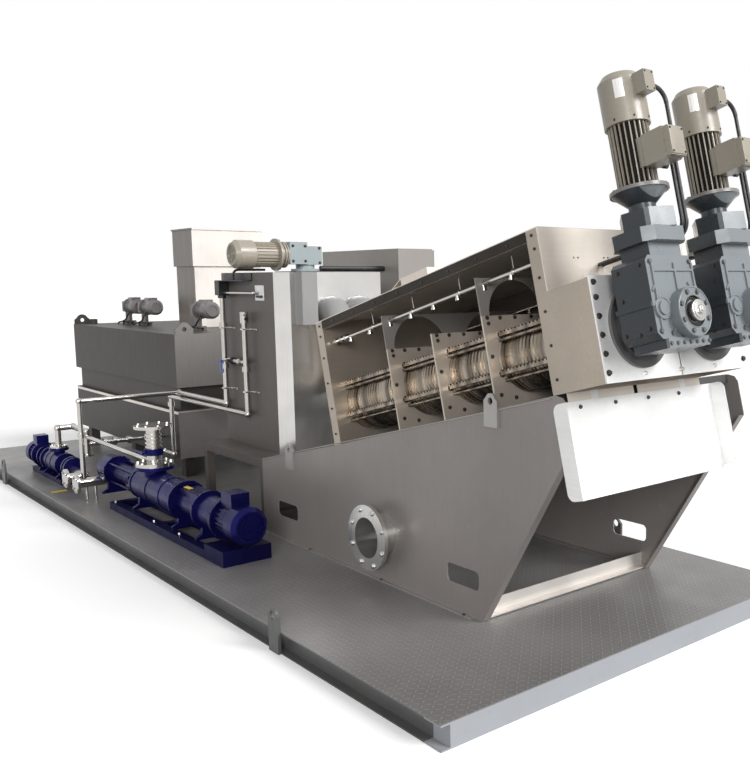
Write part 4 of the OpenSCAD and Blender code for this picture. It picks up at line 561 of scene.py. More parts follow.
@dataclass
class Solid:
    """A mesh gathered from simple turned, bent and plate forms."""

    name: str
    finish: Finish
    body: Body = Body.FRAME
    mesh: bmesh.types.BMesh = field(default_factory=bmesh.new)

    @staticmethod
    def turn(axis: Vector) -> Matrix:
        """Return the turn that lays the Z axis along the given one."""
        return axis.to_track_quat("Z", "Y").to_matrix().to_4x4()

    def rod(self, start: Vector, end: Vector, radius: float, sides: int = 24) -> None:
        """Add a round bar between two points, its radius in metres."""
        axis = end - start
        place = Matrix.Translation((start + end) / 2) @ self.turn(axis)
        bmesh.ops.create_cone(self.mesh, cap_ends=True, segments=sides, radius1=radius, radius2=radius,
                              depth=axis.length, matrix=place)

    def ring(self, centre: Vector, axis: Vector, radius: float, wire: float, sides: int,
             around: int) -> None:
        """Add a torus.

        Args:
            centre: Middle of the ring.
            axis: Axis of the ring.
            radius: Radius to the middle of the wire.
            wire: Radius of the wire.
            sides: Steps along the ring.
            around: Steps round the wire.
        """
        place = Matrix.Translation(centre) @ self.turn(axis)
        rows = []
        for i in range(sides):
            a = 2 * math.pi * i / sides
            rows.append([])
            for j in range(around):
                b = 2 * math.pi * j / around
                r = radius + wire * math.cos(b)
                point = Vector((r * math.cos(a), r * math.sin(a), wire * math.sin(b)))
                rows[-1].append(self.mesh.verts.new(place @ point))
        for i, row in enumerate(rows):
            ahead = rows[(i + 1) % sides]
            for j in range(around):
                k = (j + 1) % around
                self.mesh.faces.new((row[j], ahead[j], ahead[k], row[k]))

    def plate(self, corners: list[Vector], thickness: float, direction: Vector) -> None:
        """Add a flat plate.

        Args:
            corners: Outline in order.
            thickness: Thickness in metres.
            direction: Side to which the plate grows.
        """
        lift = direction.normalized() * thickness
        low = [self.mesh.verts.new(c) for c in corners]
        high = [self.mesh.verts.new(c + lift) for c in corners]
        self.mesh.faces.new(list(reversed(low)))
        self.mesh.faces.new(high)
        for i, _ in enumerate(corners):
            j = (i + 1) % len(corners)
            self.mesh.faces.new((low[i], low[j], high[j], high[i]))

    def sheet(self, place: Callable[..., Vector], low: Point, high: Point, thickness: float,
              way: Vector) -> None:
        """Add a flat four-sided plate.

        Args:
            place: deck or slope, the frame of the corners.
            low: First corner in millimetres.
            high: Corner across from it.
            thickness: Thickness in metres.
            way: Side to which the plate grows.
        """
        split = 1 if low[0] != high[0] else 2
        corners = (low, (*high[:split], *low[split:]), high, (*low[:split], *high[split:]))
        self.plate([place(*corner) for corner in corners], thickness, way)

    def block(self, low: Vector, high: Vector) -> None:
        """Add a block between two corners in model metres."""
        flat = ((low.x, low.y), (high.x, low.y), (high.x, high.y), (low.x, high.y))
        self.plate([Vector((x, y, low.z)) for x, y in flat], high.z - low.z, UP)

    def tube(self, path: list[Vector], radius: float, sides: int) -> None:
        """Add a round tube along a path of points."""
        rows = []
        reference = UP if abs((path[1] - path[0]).normalized().z) < 0.9 else RIGHT
        for i, point in enumerate(path):
            ahead = (path[min(i + 1, len(path) - 1)] - path[max(i - 1, 0)]).normalized()
            side = ahead.cross(reference).normalized()
            reference = side.cross(ahead).normalized()
            angles = (2 * math.pi * k / sides for k in range(sides))
            rows.append([self.mesh.verts.new(point + (side * math.cos(t) + reference * math.sin(t)) * radius)
                         for t in angles])
        for first, second in zip(rows, rows[1:]):
            for k in range(sides):
                self.mesh.faces.new((first[k], first[(k + 1) % sides], second[(k + 1) % sides], second[k]))
        self.mesh.faces.new(list(reversed(rows[0])))
        self.mesh.faces.new(rows[-1])

    def done(self, edge: float = 0.0) -> bpy.types.Object:
        """Turn the gathered forms into a piece of the scene.

        Args:
            edge: Width of the bevel on its edges in metres, none at 0.

        Returns:
            The new object, riding on its body.
        """
        bmesh.ops.recalc_face_normals(self.mesh, faces=self.mesh.faces)
        if edge:
            sharp = [e for e in self.mesh.edges if e.is_manifold and e.calc_face_angle(0.0) > BEVEL_FROM]
            bmesh.ops.bevel(self.mesh, geom=sharp, offset=edge, segments=2, profile=0.6, affect="EDGES",
                            clamp_overlap=True)
        data = bpy.data.meshes.new(self.name)
        self.mesh.to_mesh(data)
        self.mesh.free()
        piece = bpy.data.objects.new(self.name, data)
        bpy.context.scene.collection.objects.link(piece)
        data.shade_smooth()
        data.set_sharp_from_angle(angle=CREASE)
        return seat_piece(piece, self.finish, self.body)


@dataclass
class Fasteners:
    """Hexagon bolts with washers, set on points by a Geometry Nodes tree."""

    name: str
    finish: Finish = Finish.BOLT
    places: list[tuple[Vector, Vector, float]] = field(default_factory=list)

    def add(self, place: Vector, axis: Vector, size: float) -> None:
        """Set one bolt: its seat, the way its head looks and its thread size in metres."""
        self.places.append((place, axis.normalized(), size))

    def circle(self, centre: Vector, axis: Vector, radius: float, count: int, size: float,
               start: float) -> None:
        """Set a ring of bolts.

        Args:
            centre: Middle of the ring, on the seat plane.
            axis: Way the heads look.
            radius: Pitch radius in metres.
            count: Number of bolts.
            size: Thread size in metres.
            start: Angle of the first bolt in degrees.
        """
        turn = Solid.turn(axis)
        for k in range(count):
            a = math.radians(start) + 2 * math.pi * k / count
            self.add(centre + turn @ Vector((radius * math.cos(a), radius * math.sin(a), 0)), axis, size)

    @staticmethod
    def tree(finish: Finish) -> bpy.types.NodeTree:
        """Build the tree that sets a bolt head and washer on every point, scaled by its thread size."""
        group = bpy.data.node_groups.new("hex_bolts_" + finish.value.name, "GeometryNodeTree")
        sockets = group.interface
        sockets.new_socket("Geometry", in_out="INPUT", socket_type="NodeSocketGeometry")
        for label, value in (("Head radius", 0.92), ("Head height", 0.65), ("Washer radius", 1.15),
                             ("Washer height", 0.18)):
            socket = sockets.new_socket(label, in_out="INPUT", socket_type="NodeSocketFloat")
            socket.default_value = value
        sockets.new_socket("Geometry", in_out="OUTPUT", socket_type="NodeSocketGeometry")
        tree = Tree(group)
        entry, leave = tree.add("NodeGroupInput"), tree.add("NodeGroupOutput")
        bolt = tree.add("GeometryNodeJoinGeometry")
        for sides, part, base in ((6, "Head", entry.outputs["Washer height"]), (16, "Washer", 0.0)):
            solid = tree.add("GeometryNodeMeshCylinder")
            height = entry.outputs[part + " height"]
            lift = tree.add("ShaderNodeCombineXYZ")
            shift = tree.add("GeometryNodeTransform")
            for value, target in ((sides, solid.inputs["Vertices"]), (height, solid.inputs["Depth"]),
                                  (entry.outputs[part + " radius"], solid.inputs["Radius"]),
                                  (tree.maths("MULTIPLY_ADD", height, 0.5, base), lift.inputs["Z"]),
                                  (solid.outputs["Mesh"], shift.inputs["Geometry"]),
                                  (lift.outputs[0], shift.inputs["Translation"]),
                                  (shift.outputs[0], bolt.inputs[0])):
                tree.join(value, target)
        align = tree.add("FunctionNodeAlignRotationToVector", axis="Z")
        spread = tree.add("GeometryNodeInstanceOnPoints")
        for name, kind, target in (("axis", "FLOAT_VECTOR", align.inputs["Vector"]),
                                   ("size", "FLOAT", spread.inputs["Scale"])):
            value = tree.add("GeometryNodeInputNamedAttribute", data_type=kind)
            tree.join(name, value.inputs["Name"])
            tree.join(value.outputs[0], target)
        real = tree.add("GeometryNodeRealizeInstances")
        paint = tree.add("GeometryNodeSetMaterial")
        for value, target in ((entry.outputs["Geometry"], spread.inputs["Points"]),
                              (bolt.outputs[0], spread.inputs["Instance"]),
                              (align.outputs[0], spread.inputs["Rotation"]),
                              (spread.outputs[0], real.inputs[0]), (real.outputs[0], paint.inputs[0]),
                              (finish.material, paint.inputs["Material"]),
                              (paint.outputs[0], leave.inputs[0])):
            tree.join(value, target)
        return group

    def done(self) -> bpy.types.Object:
        """Run the tree on the gathered points and keep its result as one mesh.

        Returns:
            The object of all the bolts.
        """
        points = bpy.data.meshes.new(self.name + "_points")
        points.from_pydata([place for place, _, _ in self.places], [], [])
        axes = points.attributes.new("axis", "FLOAT_VECTOR", "POINT")
        axes.data.foreach_set("vector", [c for _, axis, _ in self.places for c in axis])
        sizes = points.attributes.new("size", "FLOAT", "POINT")
        sizes.data.foreach_set("value", [size for _, _, size in self.places])
        source = bpy.data.objects.new(self.name + "_source", points)
        bpy.context.scene.collection.objects.link(source)
        modifier = source.modifiers.new("bolts", "NODES")
        modifier.node_group = self.tree(self.finish)
        bpy.context.view_layer.update()
        data = bpy.data.meshes.new_from_object(source.evaluated_get(bpy.context.evaluated_depsgraph_get()))
        source.modifiers.remove(modifier)
        bpy.data.objects.remove(source)
        data.name = self.name
        piece = bpy.data.objects.new(self.name, data)
        bpy.context.scene.collection.objects.link(piece)
        return seat_piece(piece, self.finish)


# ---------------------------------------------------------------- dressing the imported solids


@dataclass
class Dressing:
    """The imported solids, named by their finish."""

    solids: dict[Finish, str] = field(default_factory=lambda: {
        Finish.SKID: "skid_frame skid_lugs", Finish.DECK: "deck_plate", Finish.BASE_BAR: "base_bars",
        Finish.PANEL: "press_panel_near press_panel_far roof_brackets", Finish.TRAY: "filtrate_tray",
        Finish.STEEL: "drain_stub", Finish.LUG: "press_lugs", Finish.ROOF: "casing_roof",
        Finish.STEEL_WARM: "casing_frame discharge_boxes feed_legs", Finish.STEEL_DARK: "casing_far_side",
        Finish.STEEL_FRONT: "casing_front", Finish.PLATE: "partition_plates",
        Finish.BAR: "ring_stack_near ring_stack_far",
        Finish.RING_BRIGHT: "moving_rings_near moving_rings_far",
        Finish.RING: "screw_near screw_far", Finish.TUBE: "spray_pipes manifold dosing_pipes",
        Finish.CHUTE: "discharge_chute mounting_plates", Finish.CAST: "bearing_discs",
        Finish.GEAR: "gear_unit_near gear_unit_far", Finish.DRIVE: "drive_motor_near drive_motor_far",
        Finish.CABLE: "drive_cables dosing_valves", Finish.TANK: "floc_stand floc_tank floc_roof",
        Finish.MOTOR: "floc_drive", Finish.GEAR_LIGHT: "stirrer_gear", Finish.PIPE: "feed_elbows",
        Finish.TANK_FAR: "poly_feet poly_tank_lower poly_tank_upper poly_roof",
        Finish.AGITATOR: "agitator_drives", Finish.HOPPER: "powder_hopper",
        Finish.CABINET: "control_cabinet",
        Finish.PUMP: "pump_near pump_near_motor pump_far port_valve", Finish.PUMP_BASE: "pump_bases"})

    def dress(self) -> None:
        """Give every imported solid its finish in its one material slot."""
        finish_of = {name: finish for finish, names in self.solids.items() for name in names.split()}
        for name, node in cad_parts.items():
            node.data.materials.clear()
            node.data.materials.append(finish_of[name].material)
            for face in node.data.polygons:
                face.material_index = 0
            LOG.info("%s: %s", name, finish_of[name].name)


@dataclass
class PressFittings:
    """Dark bolts, nuts and folds of the casing and its plates, and a dark strip of painted shade, sizes in
    millimetres.
    """

    middle_y: float = 1185.0
    side_y: float = 728.0
    front_u: float = 1258.0
    plate_u: tuple[float, ...] = (-201.0, 183.0, 567.0)
    plate_t: float = 10.0
    plate_bolts: tuple[tuple[float, float], ...] = (
        (768, 404), (770, 378), (842, 402), (930, 402), (1030, 402), (762, 230), (776, 58), (860, 40))
    claw_nuts: tuple[tuple[float, float], ...] = ((-126, 116), (-154, -58), (126, 116), (154, -58))
    column: tuple[float, ...] = (40.0, 114.0, 188.0, 262.0, 336.0, 396.0)
    edge_row: tuple[float, ...] = (-790, -640, -430, -220, -10, 200, 410, 620, 830, 985)
    end_row: tuple[float, ...] = (60, 200, 340, 480, 600)
    pipe_y: float = 790.0
    fold: tuple[Point, Point] = ((-760.0, 728.0, 636.0), (952.0, 728.0, 680.0))
    handle: tuple[tuple[float, float], ...] = (
        (0, 684), (0, 712), (20, 722), (110, 722), (130, 712), (130, 684))

    def bright_bolts(self) -> None:
        """Set the bolts of the drain flange and of the discharge boxes."""
        bright = Fasteners("drain_flange_bolts", Finish.BOLT)
        bright.circle(deck(-1449, 624, 250), NEAR, 0.1475, 8, 0.013, 22.5)
        for y in (958, 1178, 1192, 1412):
            bright.add(slope(self.front_u, y, 24), ALONG, 0.008)
        bright.done()

    def dark_bolts(self) -> None:
        """Set the bolts and claw nuts of the plates, the casing and the panel."""
        dark = Fasteners("press_dark_bolts", Finish.BOLT_DARK)
        for u in self.plate_u:
            seat = u + self.plate_t
            for y, w in self.plate_bolts:
                for place in (y, 2 * self.middle_y - y):
                    dark.add(slope(seat, place, w), ALONG, 0.0085)
            for y in SCREW_Y:
                for side, w in self.claw_nuts:
                    dark.add(slope(seat, y + side, AXIS_W + w), ALONG, 0.015)
        for w in self.column:
            for y in (746, 1624):
                dark.add(slope(self.front_u, y, w), ALONG, 0.011)
        for u in self.edge_row:
            dark.add(slope(u, self.side_y, 657), NEAR, 0.006)
        for w in self.end_row:
            for u in (-795, 990):
                dark.add(slope(u, self.side_y, w), NEAR, 0.006)
        for y in (800, 1010, 1220, 1430):
            dark.add(slope(1022, y, -62), ALONG, 0.008)
        for x in (-2202, -1462, -773):
            dark.add(deck(x, 716, 5), UP, 0.007)
        dark.done()

    def build(self) -> None:
        """Set the bolts, and add the strip of painted shade, the folds, the clips and the handles."""
        self.bright_bolts()
        # a dark sheet over the casing's top strip on the near side: painted shade under the roof's edge
        fold = Solid("roof_near_painted_shade", Finish.FOLD)
        fold.sheet(slope, *self.fold, 0.0015, NEAR)
        fold.done()
        clips = Solid("wash_pipe_clips", Finish.TUBE)
        for u in (-350, 20, 400, 780):
            clips.ring(slope(u, self.pipe_y, 560), ALONG, 0.0125, 0.003, 20, 6)
            clips.rod(slope(u, self.pipe_y, 572), slope(u, self.pipe_y, 640), 0.003, 8)
        clips.done()
        edge = Solid("panel_edge_folds", Finish.LUG)
        edge.rod(deck(-2776, 725.5, 455), deck(-190, 725.5, 1073.2), 0.003, 10)
        edge.block(deck(-2762, 706, 0.2), deck(-713, 727.8, 5))
        edge.done(0.001)
        self.dark_bolts()
        strip = Solid("chute_back_sheet", Finish.STEEL_FRONT)
        for y0, y1 in ((742, 1142), (1166, 1600)):
            strip.sheet(slope, (1015, y0, -37), (1015, y1, -1), 0.002, ALONG)
        strip.done()
        hatch = Solid("roof_hatch_handles", Finish.STEEL)
        for u in (-560, 40, 640):
            hatch.tube([slope(u + du, 1000, w) for du, w in self.handle], 0.006, 10)
        hatch.done()


@dataclass
class GearFittings:
    """Screws, covers and shaft nuts of the gear units, sizes in millimetres."""

    front_u: float = 1505.0
    boss_u: float = 1550.0
    near_y: float = -181.0
    far_y: float = 106.0
    side_screws: tuple[tuple[float, float], ...] = (
        (1360, 400), (1470, 405), (1362, 290), (1350, 160), (1470, 165), (1420, 150))
    front_bolts: tuple[tuple[float, float], ...] = (
        (-160, 412), (-160, 150), (72, 412), (84, 150), (-96, 140))

    def nut(self, y: float) -> None:
        """Make the disc, washer, nut and shaft end on one screw; they turn with it."""
        near = y == SCREW_Y[0]
        nut = Solid("shaft_end_nut_near" if near else "shaft_end_nut_far", Finish.BOLT,
                    Body.SCREW_NEAR if near else Body.SCREW_FAR)
        for start, end, radius, sides in ((1552, 1571, 0.041, 40), (1571, 1575, 0.033, 32),
                                          (1575, 1586, 0.018, 6), (1586, 1590, 0.009, 16)):
            nut.rod(slope(start, y, AXIS_W), slope(end, y, AXIS_W), radius, sides)
        nut.done(0.0008)

    def build(self) -> None:
        """Dress both gear units."""
        screws = Fasteners("gear_cap_screws", Finish.BOLT_DARK)
        faced = Fasteners("gear_boss_bolts", Finish.CAST)
        rims = Solid("gear_cover_rims", Finish.GEAR)
        faces = Solid("gear_boss_rings", Finish.BOLT_DARK)
        for y in SCREW_Y:
            boss, motor_y = slope(self.boss_u, y, AXIS_W), y - MOTOR_OFF_Y
            for u, w in self.side_screws:
                screws.add(slope(u, y + self.near_y, w), -FAR, 0.0085)
                screws.add(slope(u, y + self.far_y, w), FAR, 0.0085)
            for dy, w in self.front_bolts:
                faced.add(slope(self.front_u, y + dy, w), ALONG, 0.009)
            for k in range(7):
                faced.add(slope(self.front_u + 12, y - 130 + 38 * k, 100), ALONG, 0.0075)
            faced.circle(boss, ALONG, 0.079, 8, 0.0095, 22.5)
            self.nut(y)
            for radius in (0.047, 0.053, 0.059):
                faces.ring(slope(1541, y, AXIS_W), ALONG, radius, 0.0028, 40, 6)
            rims.ring(boss, ALONG, 0.093, 0.0035, 40, 8)
            rims.ring(boss, ALONG, 0.062, 0.0025, 40, 8)
            rims.ring(slope(self.front_u + 8, y - 135, AXIS_W + 24), ALONG, 0.04, 0.003, 32, 8)
            for y0, w0, y1, w1 in ((-172, 300, -150, 330), (-100, 132, -70, 160), (40, 330, 66, 300)):
                rims.rod(slope(self.front_u + 2, y + y0, w0), slope(self.front_u + 2, y + y1, w1), 0.005, 8)
            screws.circle(slope(MOTOR_U, motor_y, 717), LIFT, 0.107, 8, 0.0065, 22.5)
            for du, dy in ((-58, -78), (58, -78), (-58, 78), (58, 78)):
                screws.add(slope(MOTOR_U + du, motor_y + dy, 491), LIFT, 0.0075)
        for piece in (screws, faced, faces, rims):
            piece.done()


@dataclass
class MotorFittings:
    """Shaded gaps, bare plates, lids and glands of the motors, sizes in millimetres."""

    base_w: float = 703.0
    length: float = 463.0
    cowl_from: float = 0.57
    core_r: float = 81.0
    fin: float = 7.4
    plate_from: float = 355.0
    plate_to: float = 428.0
    lid_half: float = 41.0
    lid_w: tuple[float, float] = (785.0, 889.0)
    cowl_r: float = 91.0
    stirrer_y: float = 1098.0

    def spin(self, centre: Vector, reach: Vector, degrees: float) -> Vector:
        """Return a point at a reach from a motor's axis, turned round it by some degrees."""
        return centre + Matrix.Rotation(math.radians(degrees), 3, LIFT) @ reach

    def plates(self, solid: Solid, y: float) -> None:
        """Add the bare plate on a cowl, bent round it in three strips."""
        low, high = self.base_w + self.plate_from, self.base_w + self.plate_to
        reach = ALONG * (self.cowl_r + 0.4) / 1000
        for a, b in ((-68, -60), (-60, -52), (-52, -44)):
            corners = [self.spin(slope(MOTOR_U, y, w), reach, angle)
                       for w, angle in ((low, a), (low, b), (high, b), (high, a))]
            solid.plate(corners, 0.001, (corners[0] + corners[1]) / 2 - slope(MOTOR_U, y, low))

    def screws(self, screws: Fasteners, y: float, lid_u: float) -> None:
        """Set the screws of the lids of both boxes and those of the cowl."""
        for dy in (-34, 34):
            for w in (793, 881):
                screws.add(slope(lid_u + 4, y + dy, w), ALONG, 0.004)
        for dy in (-20, 20):
            for w in (1068, 1132):
                screws.add(slope(MOTOR_U + self.cowl_r + 52, y + dy, w), ALONG, 0.0035)
        cowl_w = self.base_w + self.length * self.cowl_from
        for w in (cowl_w + 14, cowl_w + 16):
            centre = slope(MOTOR_U, y, w)
            for angle in (-80, -30, 20, 80, 140, 200):
                place = self.spin(centre, ALONG * self.cowl_r / 1000, angle)
                screws.add(place, place - centre, 0.0035)

    def build(self) -> None:
        """Dress the two drive motors and the stirrer motor."""
        gap_shade = Solid("motor_gap_shade", Finish.MOTOR_SHADE)
        plates = Solid("motor_bare_plates", Finish.NAMEPLATE)
        lids = Solid("terminal_lids", Finish.MOTOR)
        glands = Solid("cable_glands", Finish.CABLE)
        screws = Fasteners("motor_screws", Finish.BOLT_DARK)
        cowl_w = self.base_w + self.length * self.cowl_from
        lid_u = MOTOR_U + self.core_r + 135
        loop_u = MOTOR_U + self.cowl_r + 12
        for y in SCREW_Y:
            my = y - MOTOR_OFF_Y
            # a dark sleeve just under the roots of the fins: painted shade in the gaps
            gap_shade.rod(slope(MOTOR_U, my, self.base_w + 14), slope(MOTOR_U, my, cowl_w),
                     (self.core_r - self.fin) / 1000, 48)
            self.plates(plates, my)
            lids.sheet(slope, (lid_u, my - self.lid_half, self.lid_w[0]),
                       (lid_u, my + self.lid_half, self.lid_w[1]), 0.004, ALONG)
            self.screws(screws, my, lid_u)
            for u, y0, y1, w, radius in ((loop_u, 28, 46, 1100, 0.012), (loop_u, 46, 52, 1100, 0.0105),
                                         (MOTOR_U + self.core_r - 6, 43, 62, 861, 0.012),
                                         (loop_u, 43, 62, 783, 0.012)):
                glands.rod(slope(u, my + y0, w), slope(u, my + y1, w), radius, 16)
        screws.circle(deck(STIRRER_X, self.stirrer_y, STIRRER_Z), NEAR, 0.098, 8, 0.006, 22.5)
        gap_shade.done()
        plates.done()
        lids.done(0.0012)
        glands.done()
        screws.done()


@dataclass
class PumpFittings:
    """Bolts, tie rods and plates of the pumps and their pipes, sizes in millimetres."""

    flanges: tuple[tuple[float, float, float, int], ...] = (
        (-2454, 0.108, 0.011, 1), (-3028, 0.113, 0.011, 1), (-3755, 0.102, 0.011, -1),
        (-4239, 0.098, 0.011, 1), (-2695, 0.107, 0.01, -1), (-3046, 0.107, 0.01, -1))

    def build(self) -> None:
        """Dress both pumps."""
        bolts = Fasteners("pump_bolts", Finish.BOLT)
        bolts.circle(deck(-3545, PUMP_Y, 381), UP, 0.1, 8, 0.0105, 22.5)
        bolts.circle(deck(-3545, PUMP_Y, 625), UP, 0.095, 8, 0.009, 0.0)
        for x in (-4000, -3300, -2900, -2500):
            for y in (234, 458):
                bolts.add(deck(x, y, 50), UP, 0.009)
        for x in (-4400, -4640):
            bolts.circle(deck(x, 95, 130), NEAR, 0.053, 4, 0.009, 45)
        bolts.circle(deck(-5260, 235, 278), UP, 0.05, 4, 0.008, 45)
        bolts.done()
        blue = Fasteners("pump_blue_bolts", Finish.PUMP)
        for x, radius, size, side in self.flanges:
            blue.circle(deck(x, PUMP_Y, PUMP_Z), RIGHT * side, radius, 8, size, 22.5)
        blue.done()
        rods = Solid("stator_tie_rods", Finish.PUMP)
        for k in range(4):
            a = math.radians(45 + 90 * k)
            y, z = PUMP_Y + 88 * math.cos(a), PUMP_Z + 88 * math.sin(a)
            rods.rod(deck(-4245, y, z), deck(-3730, y, z), 0.0075, 10)
        rods.done()
        plate = Solid("yellow_bare_plate", Finish.YELLOW)
        plate.sheet(deck, (-3000, 312, 306), (-2910, 338, 309), 0.0015, UP)
        plate.done()
        strap = Solid("deck_bare_strip", Finish.YELLOW)
        strap.sheet(deck, (-4866, 52, 0.2), (-4820, 158, 0.2), 0.001, UP)
        strap.done()


@dataclass
class TankFittings:
    """Bolts, levers and bare plates of the tanks, sizes in millimetres."""

    dose_y: float = 870.0
    agitator_x: tuple[float, ...] = (-6720.0, -6300.0, -5090.0)
    cable: tuple[Point, ...] = ((175, 1278, 1272), (175, 1262, 1240), (120, 1258, 1190), (10, 1262, 1168),
                                (-90, 1266, 1160), (-130, 1270, 1146))

    def valves(self) -> None:
        """Make the lever, the valve and the tap of the dosing pipes."""
        y = self.dose_y
        lever = Solid("blue_lever", Finish.BLUE_LEVER)
        lever.sheet(deck, (-3586, 846, 1010), (-3566, 846, 925), 0.006, NEAR)
        lever.rod(deck(-3576, y, 1006), deck(-3576, 836, 1006), 0.008, 12)
        lever.done(0.001)
        valve = Solid("cross_link_valve", Finish.CABLE)
        valve.rod(deck(-3490, y, 1015), deck(-3440, y, 1015), 0.024, 20)
        valve.rod(deck(-3465, y, 1015), deck(-3465, 830, 1015), 0.012, 16)
        valve.sheet(deck, (-3500, 832, 1020), (-3430, 832, 1010), 0.006, NEAR)
        valve.done(0.001)
        tap = Solid("outlet_tap", Finish.CABLE)
        tap.rod(deck(-3254, y, 1290), deck(-3254, y, 1316), 0.022, 20)
        tap.tube([deck(-3254, y, 1316), deck(-3230, 862, 1330), deck(-3180, 856, 1334)], 0.007, 10)
        tap.rod(deck(-3290, y, 1303), deck(-3218, y, 1303), 0.012, 16)
        tap.done()

    def agitators(self) -> None:
        """Make the feet and the cables of the agitators; each cable is a fixed loop."""
        feet = Solid("agitator_feet", Finish.CABLE)
        loops = Solid("agitator_cables", Finish.CABLE)
        for x in self.agitator_x:
            for y in (1285, 1362):
                feet.rod(deck(x, y, 1140.5), deck(x, y, 1166), 0.016, 16)
            loops.tube([deck(x + dx, y, z) for dx, y, z in self.cable], 0.007, 10)
        feet.done(0.001)
        loops.done()

    def build(self) -> None:
        """Dress the tanks, their drives and the dosing pipes."""
        dark = Fasteners("stirrer_gear_bolts", Finish.BOLT_DARK)
        for x, y, z in ((-3122, 1172, 1780), (-3122, 1172, 1680), (-3122, 1262, 1780), (-3122, 1262, 1680),
                        (-3128, 1372, 1768), (-3128, 1372, 1670)):
            dark.add(deck(x, y, z), RIGHT, 0.0085)
        dark.done()
        self.valves()
        ledge = Solid("poly_ledge_strip", Finish.STEEL_FRONT)
        ledge.sheet(deck, (-7118, 939.5, 513), (-4619, 939.5, 535), 0.0015, NEAR)
        ledge.sheet(deck, (-4619.5, 940, 526), (-4619.5, 2168, 535), 0.0015, RIGHT)
        ledge.done()
        sheet = Solid("white_bare_plate", Finish.WHITE)
        sheet.sheet(deck, (-3158, 909.4, 1425), (-3034, 909.4, 1522), 0.0012, NEAR)
        sheet.done()
        clip = Solid("plate_clip", Finish.CABLE)
        clip.rod(deck(-3120, 900, 1450), deck(-3050, 900, 1450), 0.007, 12)
        clip.done()
        sight = Solid("red_sight", Finish.RED)
        sight.rod(deck(-6290, 1282, 1318), deck(-6290, 1272, 1318), 0.018, 20)
        sight.done()
        self.agitators()


@dataclass
class TankFront:
    """Bright steel sheet folded over the front and the near corner of the flocculation tank, lighter than
    the tank's own satin: painted light on these faces.
    """

    front_x: float = -2830.0
    near_y: float = 910.0
    bevel: float = 75.0
    width: float = 672.0
    low: float = 440.0
    high: float = 1605.0
    thickness: float = 1.2

    def build(self) -> None:
        """Fold the sheet round the corner."""
        # the bright sheet is painted light on the tank's front and near corner
        sheet = Solid("floc_front_painted_light", Finish.STEEL)
        corner = deck(self.front_x - self.bevel, self.near_y, self.low)
        edge = deck(self.front_x, self.near_y + self.bevel, self.low)
        end = deck(self.front_x, self.near_y + self.bevel + self.width, self.low)
        rise = Vector((0, 0, (self.high - self.low) / 1000))
        for start, stop, way in ((corner, edge, RIGHT + NEAR), (edge, end, RIGHT)):
            sheet.plate([start, stop, stop + rise, start + rise], self.thickness / 1000, way)
        sheet.done()


@dataclass
class Grilles:
    """Fan grilles on the motors' ends, sizes in metres."""

    spokes: int = 4

    def guard(self, solid: Solid, centre: Vector, axis: Vector, radii: tuple[float, ...], wire: float,
              reach: float) -> None:
        """Add the rings of a grille, and its spokes.

        Args:
            solid: Mesh that the grille joins.
            centre: Middle of the grille.
            axis: Axis of the fan.
            radii: Radii of the rings.
            wire: Radius of the wire.
            reach: Half the length of a spoke.
        """
        for radius in radii:
            solid.ring(centre, axis, radius, wire, 24, 6)
        for k in range(self.spokes):
            a = math.pi * k / self.spokes
            side = Solid.turn(axis) @ Vector((math.cos(a), math.sin(a), 0))
            solid.rod(centre - side * reach, centre + side * reach, wire, 6)

    def build(self) -> None:
        """Make the grille of each motor."""
        grille = Solid("fan_grilles", Finish.MOTOR)
        for y in SCREW_Y:
            self.guard(grille, slope(MOTOR_U, y - MOTOR_OFF_Y, 1158), LIFT, (0.02, 0.034, 0.048, 0.062),
                       0.0022, 0.068)
        self.guard(grille, deck(STIRRER_X, 782, STIRRER_Z), NEAR, (0.016, 0.029, 0.042, 0.054), 0.002, 0.056)
        grille.done()
        blue = Solid("pump_fan_grille", Finish.PUMP)
        for radius in (0.02, 0.036, 0.052, 0.068):
            blue.ring(deck(-2168, PUMP_Y, PUMP_Z), RIGHT, radius, 0.0022, 24, 6)
        blue.done()


# ---------------------------------------------------------------- stage


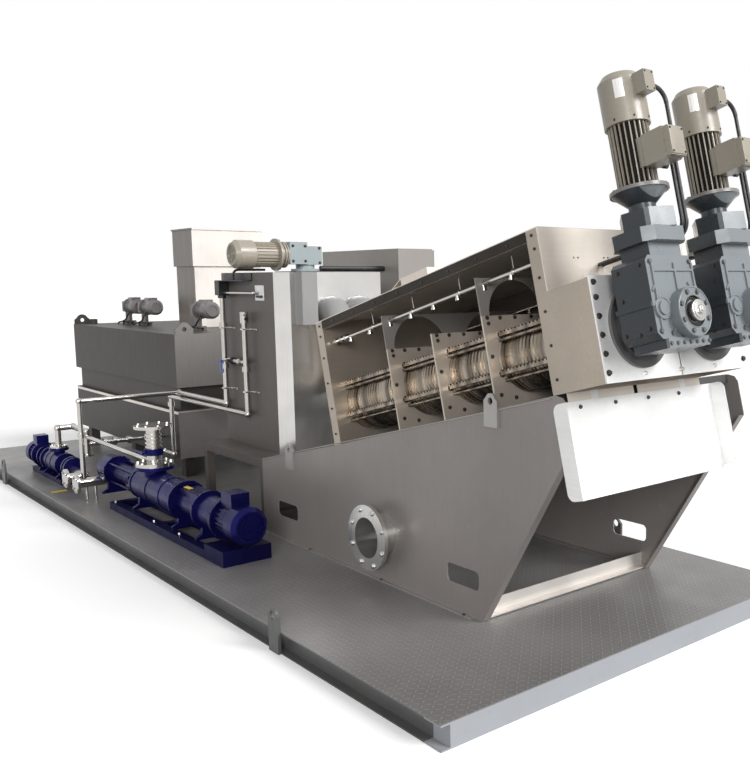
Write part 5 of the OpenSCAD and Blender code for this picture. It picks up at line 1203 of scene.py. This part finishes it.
@dataclass
class Stage:
    """Floor, lamps, world and camera."""

    eye: Point = (2476.0, -1833.0, 1560.0)
    yaw: float = 137.62
    pitch: float = 7.07
    roll: float = 0.33
    lens: float = 42.42
    shift: tuple[float, float] = (-0.1965, 0.0024)
    floor_size: float = 60.0
    surround: float = 0.32

    def floor(self) -> None:
        """Lay a wide pale floor that looks white to the camera and keeps the shadow."""
        data = bpy.data.meshes.new("floor")
        size = self.floor_size
        data.from_pydata([(-size, -size, 0), (size, -size, 0), (size, size, 0), (-size, size, 0)], [],
                         [(0, 1, 2, 3)])
        floor = bpy.data.objects.new("floor", data)
        bpy.context.scene.collection.objects.link(floor)
        graph = Graph("pale_floor")
        seen = graph.seen()
        tone = graph.blend(graph.patches(0.8, 3.0), (0.86, 0.86, 0.86), (0.89, 0.89, 0.885))
        graph.feed("Base Color", graph.blend(seen, (0.33, 0.33, 0.33), tone))
        graph.feed("Roughness", 0.85)
        graph.feed("Specular IOR Level", 0.1)
        graph.feed("Emission Color", (1.0, 1.0, 1.0, 1.0))
        graph.feed("Emission Strength", graph.maths("MULTIPLY", seen, 0.3))
        data.materials.append(graph.material)

    def world(self) -> None:
        """Give a plain bright surround, softer where it only lights the object."""
        world = bpy.data.worlds.new("studio")
        bpy.context.scene.world = world
        world.use_nodes = True
        tree = Tree(world.node_tree)
        background = tree.add("ShaderNodeBackground")
        tree.join((1.0, 1.0, 1.0, 1.0), background.inputs["Color"])
        tree.join(tree.remap(tree.seen(), 0.0, 1.0, self.surround, 1.0), background.inputs["Strength"])
        tree.join(background.outputs[0], tree.add("ShaderNodeOutputWorld").inputs[0])

    def lamps(self) -> None:
        """Set a soft lamp on the discharge side, one beside the camera and a faint one on the near side."""
        for name, direction, energy, angle in (("key", (0.9, 0.36, 0.62), 2.8, 26.0),
                                               ("side", (0.76, -0.62, 0.28), 1.5, 20.0),
                                               ("fill", (0.1, -1.0, 0.6), 0.12, 40.0)):
            data = bpy.data.lights.new(name, "SUN")
            data.energy = energy
            data.angle = math.radians(angle)
            lamp = bpy.data.objects.new(name, data)
            lamp.rotation_euler = Vector(direction).to_track_quat("Z", "Y").to_euler()
            bpy.context.scene.collection.objects.link(lamp)

    def camera(self) -> None:
        """Set the camera at the photograph's viewing angle."""
        yaw, pitch, roll = (math.radians(a) for a in (self.yaw, self.pitch, self.roll))
        level = math.cos(pitch)
        forward = Vector((math.cos(yaw) * level, math.sin(yaw) * level, -math.sin(pitch)))
        right = Vector((math.sin(yaw), -math.cos(yaw), 0.0))
        down = forward.cross(right)
        right, down = (right * math.cos(roll) + down * math.sin(roll),
                       down * math.cos(roll) - right * math.sin(roll))
        data = bpy.data.cameras.new("view")
        data.lens, data.sensor_width, data.sensor_fit = self.lens, 36.0, "AUTO"
        data.shift_x, data.shift_y = self.shift
        data.clip_end = 200.0
        camera = bpy.data.objects.new("view", data)
        turn = Matrix((right, -down, -forward)).transposed().to_4x4()
        camera.matrix_world = Matrix.Translation(deck(*self.eye)) @ turn
        bpy.context.scene.collection.objects.link(camera)
        bpy.context.scene.camera = camera
        bpy.context.scene.view_settings.view_transform = "Standard"

    def build(self) -> None:
        """Make the whole stage."""
        self.camera()
        self.floor()
        self.world()
        self.lamps()


def main() -> None:
    """Build the stage, dress the solids and add the fine pieces."""
    logging.basicConfig(level=logging.INFO, format="%(name)s %(message)s")
    Stage().build()
    Dressing().dress()
    PressFittings().build()
    GearFittings().build()
    MotorFittings().build()
    PumpFittings().build()
    TankFittings().build()
    TankFront().build()
    Grilles().build()


if __name__ == "__main__":
    main()
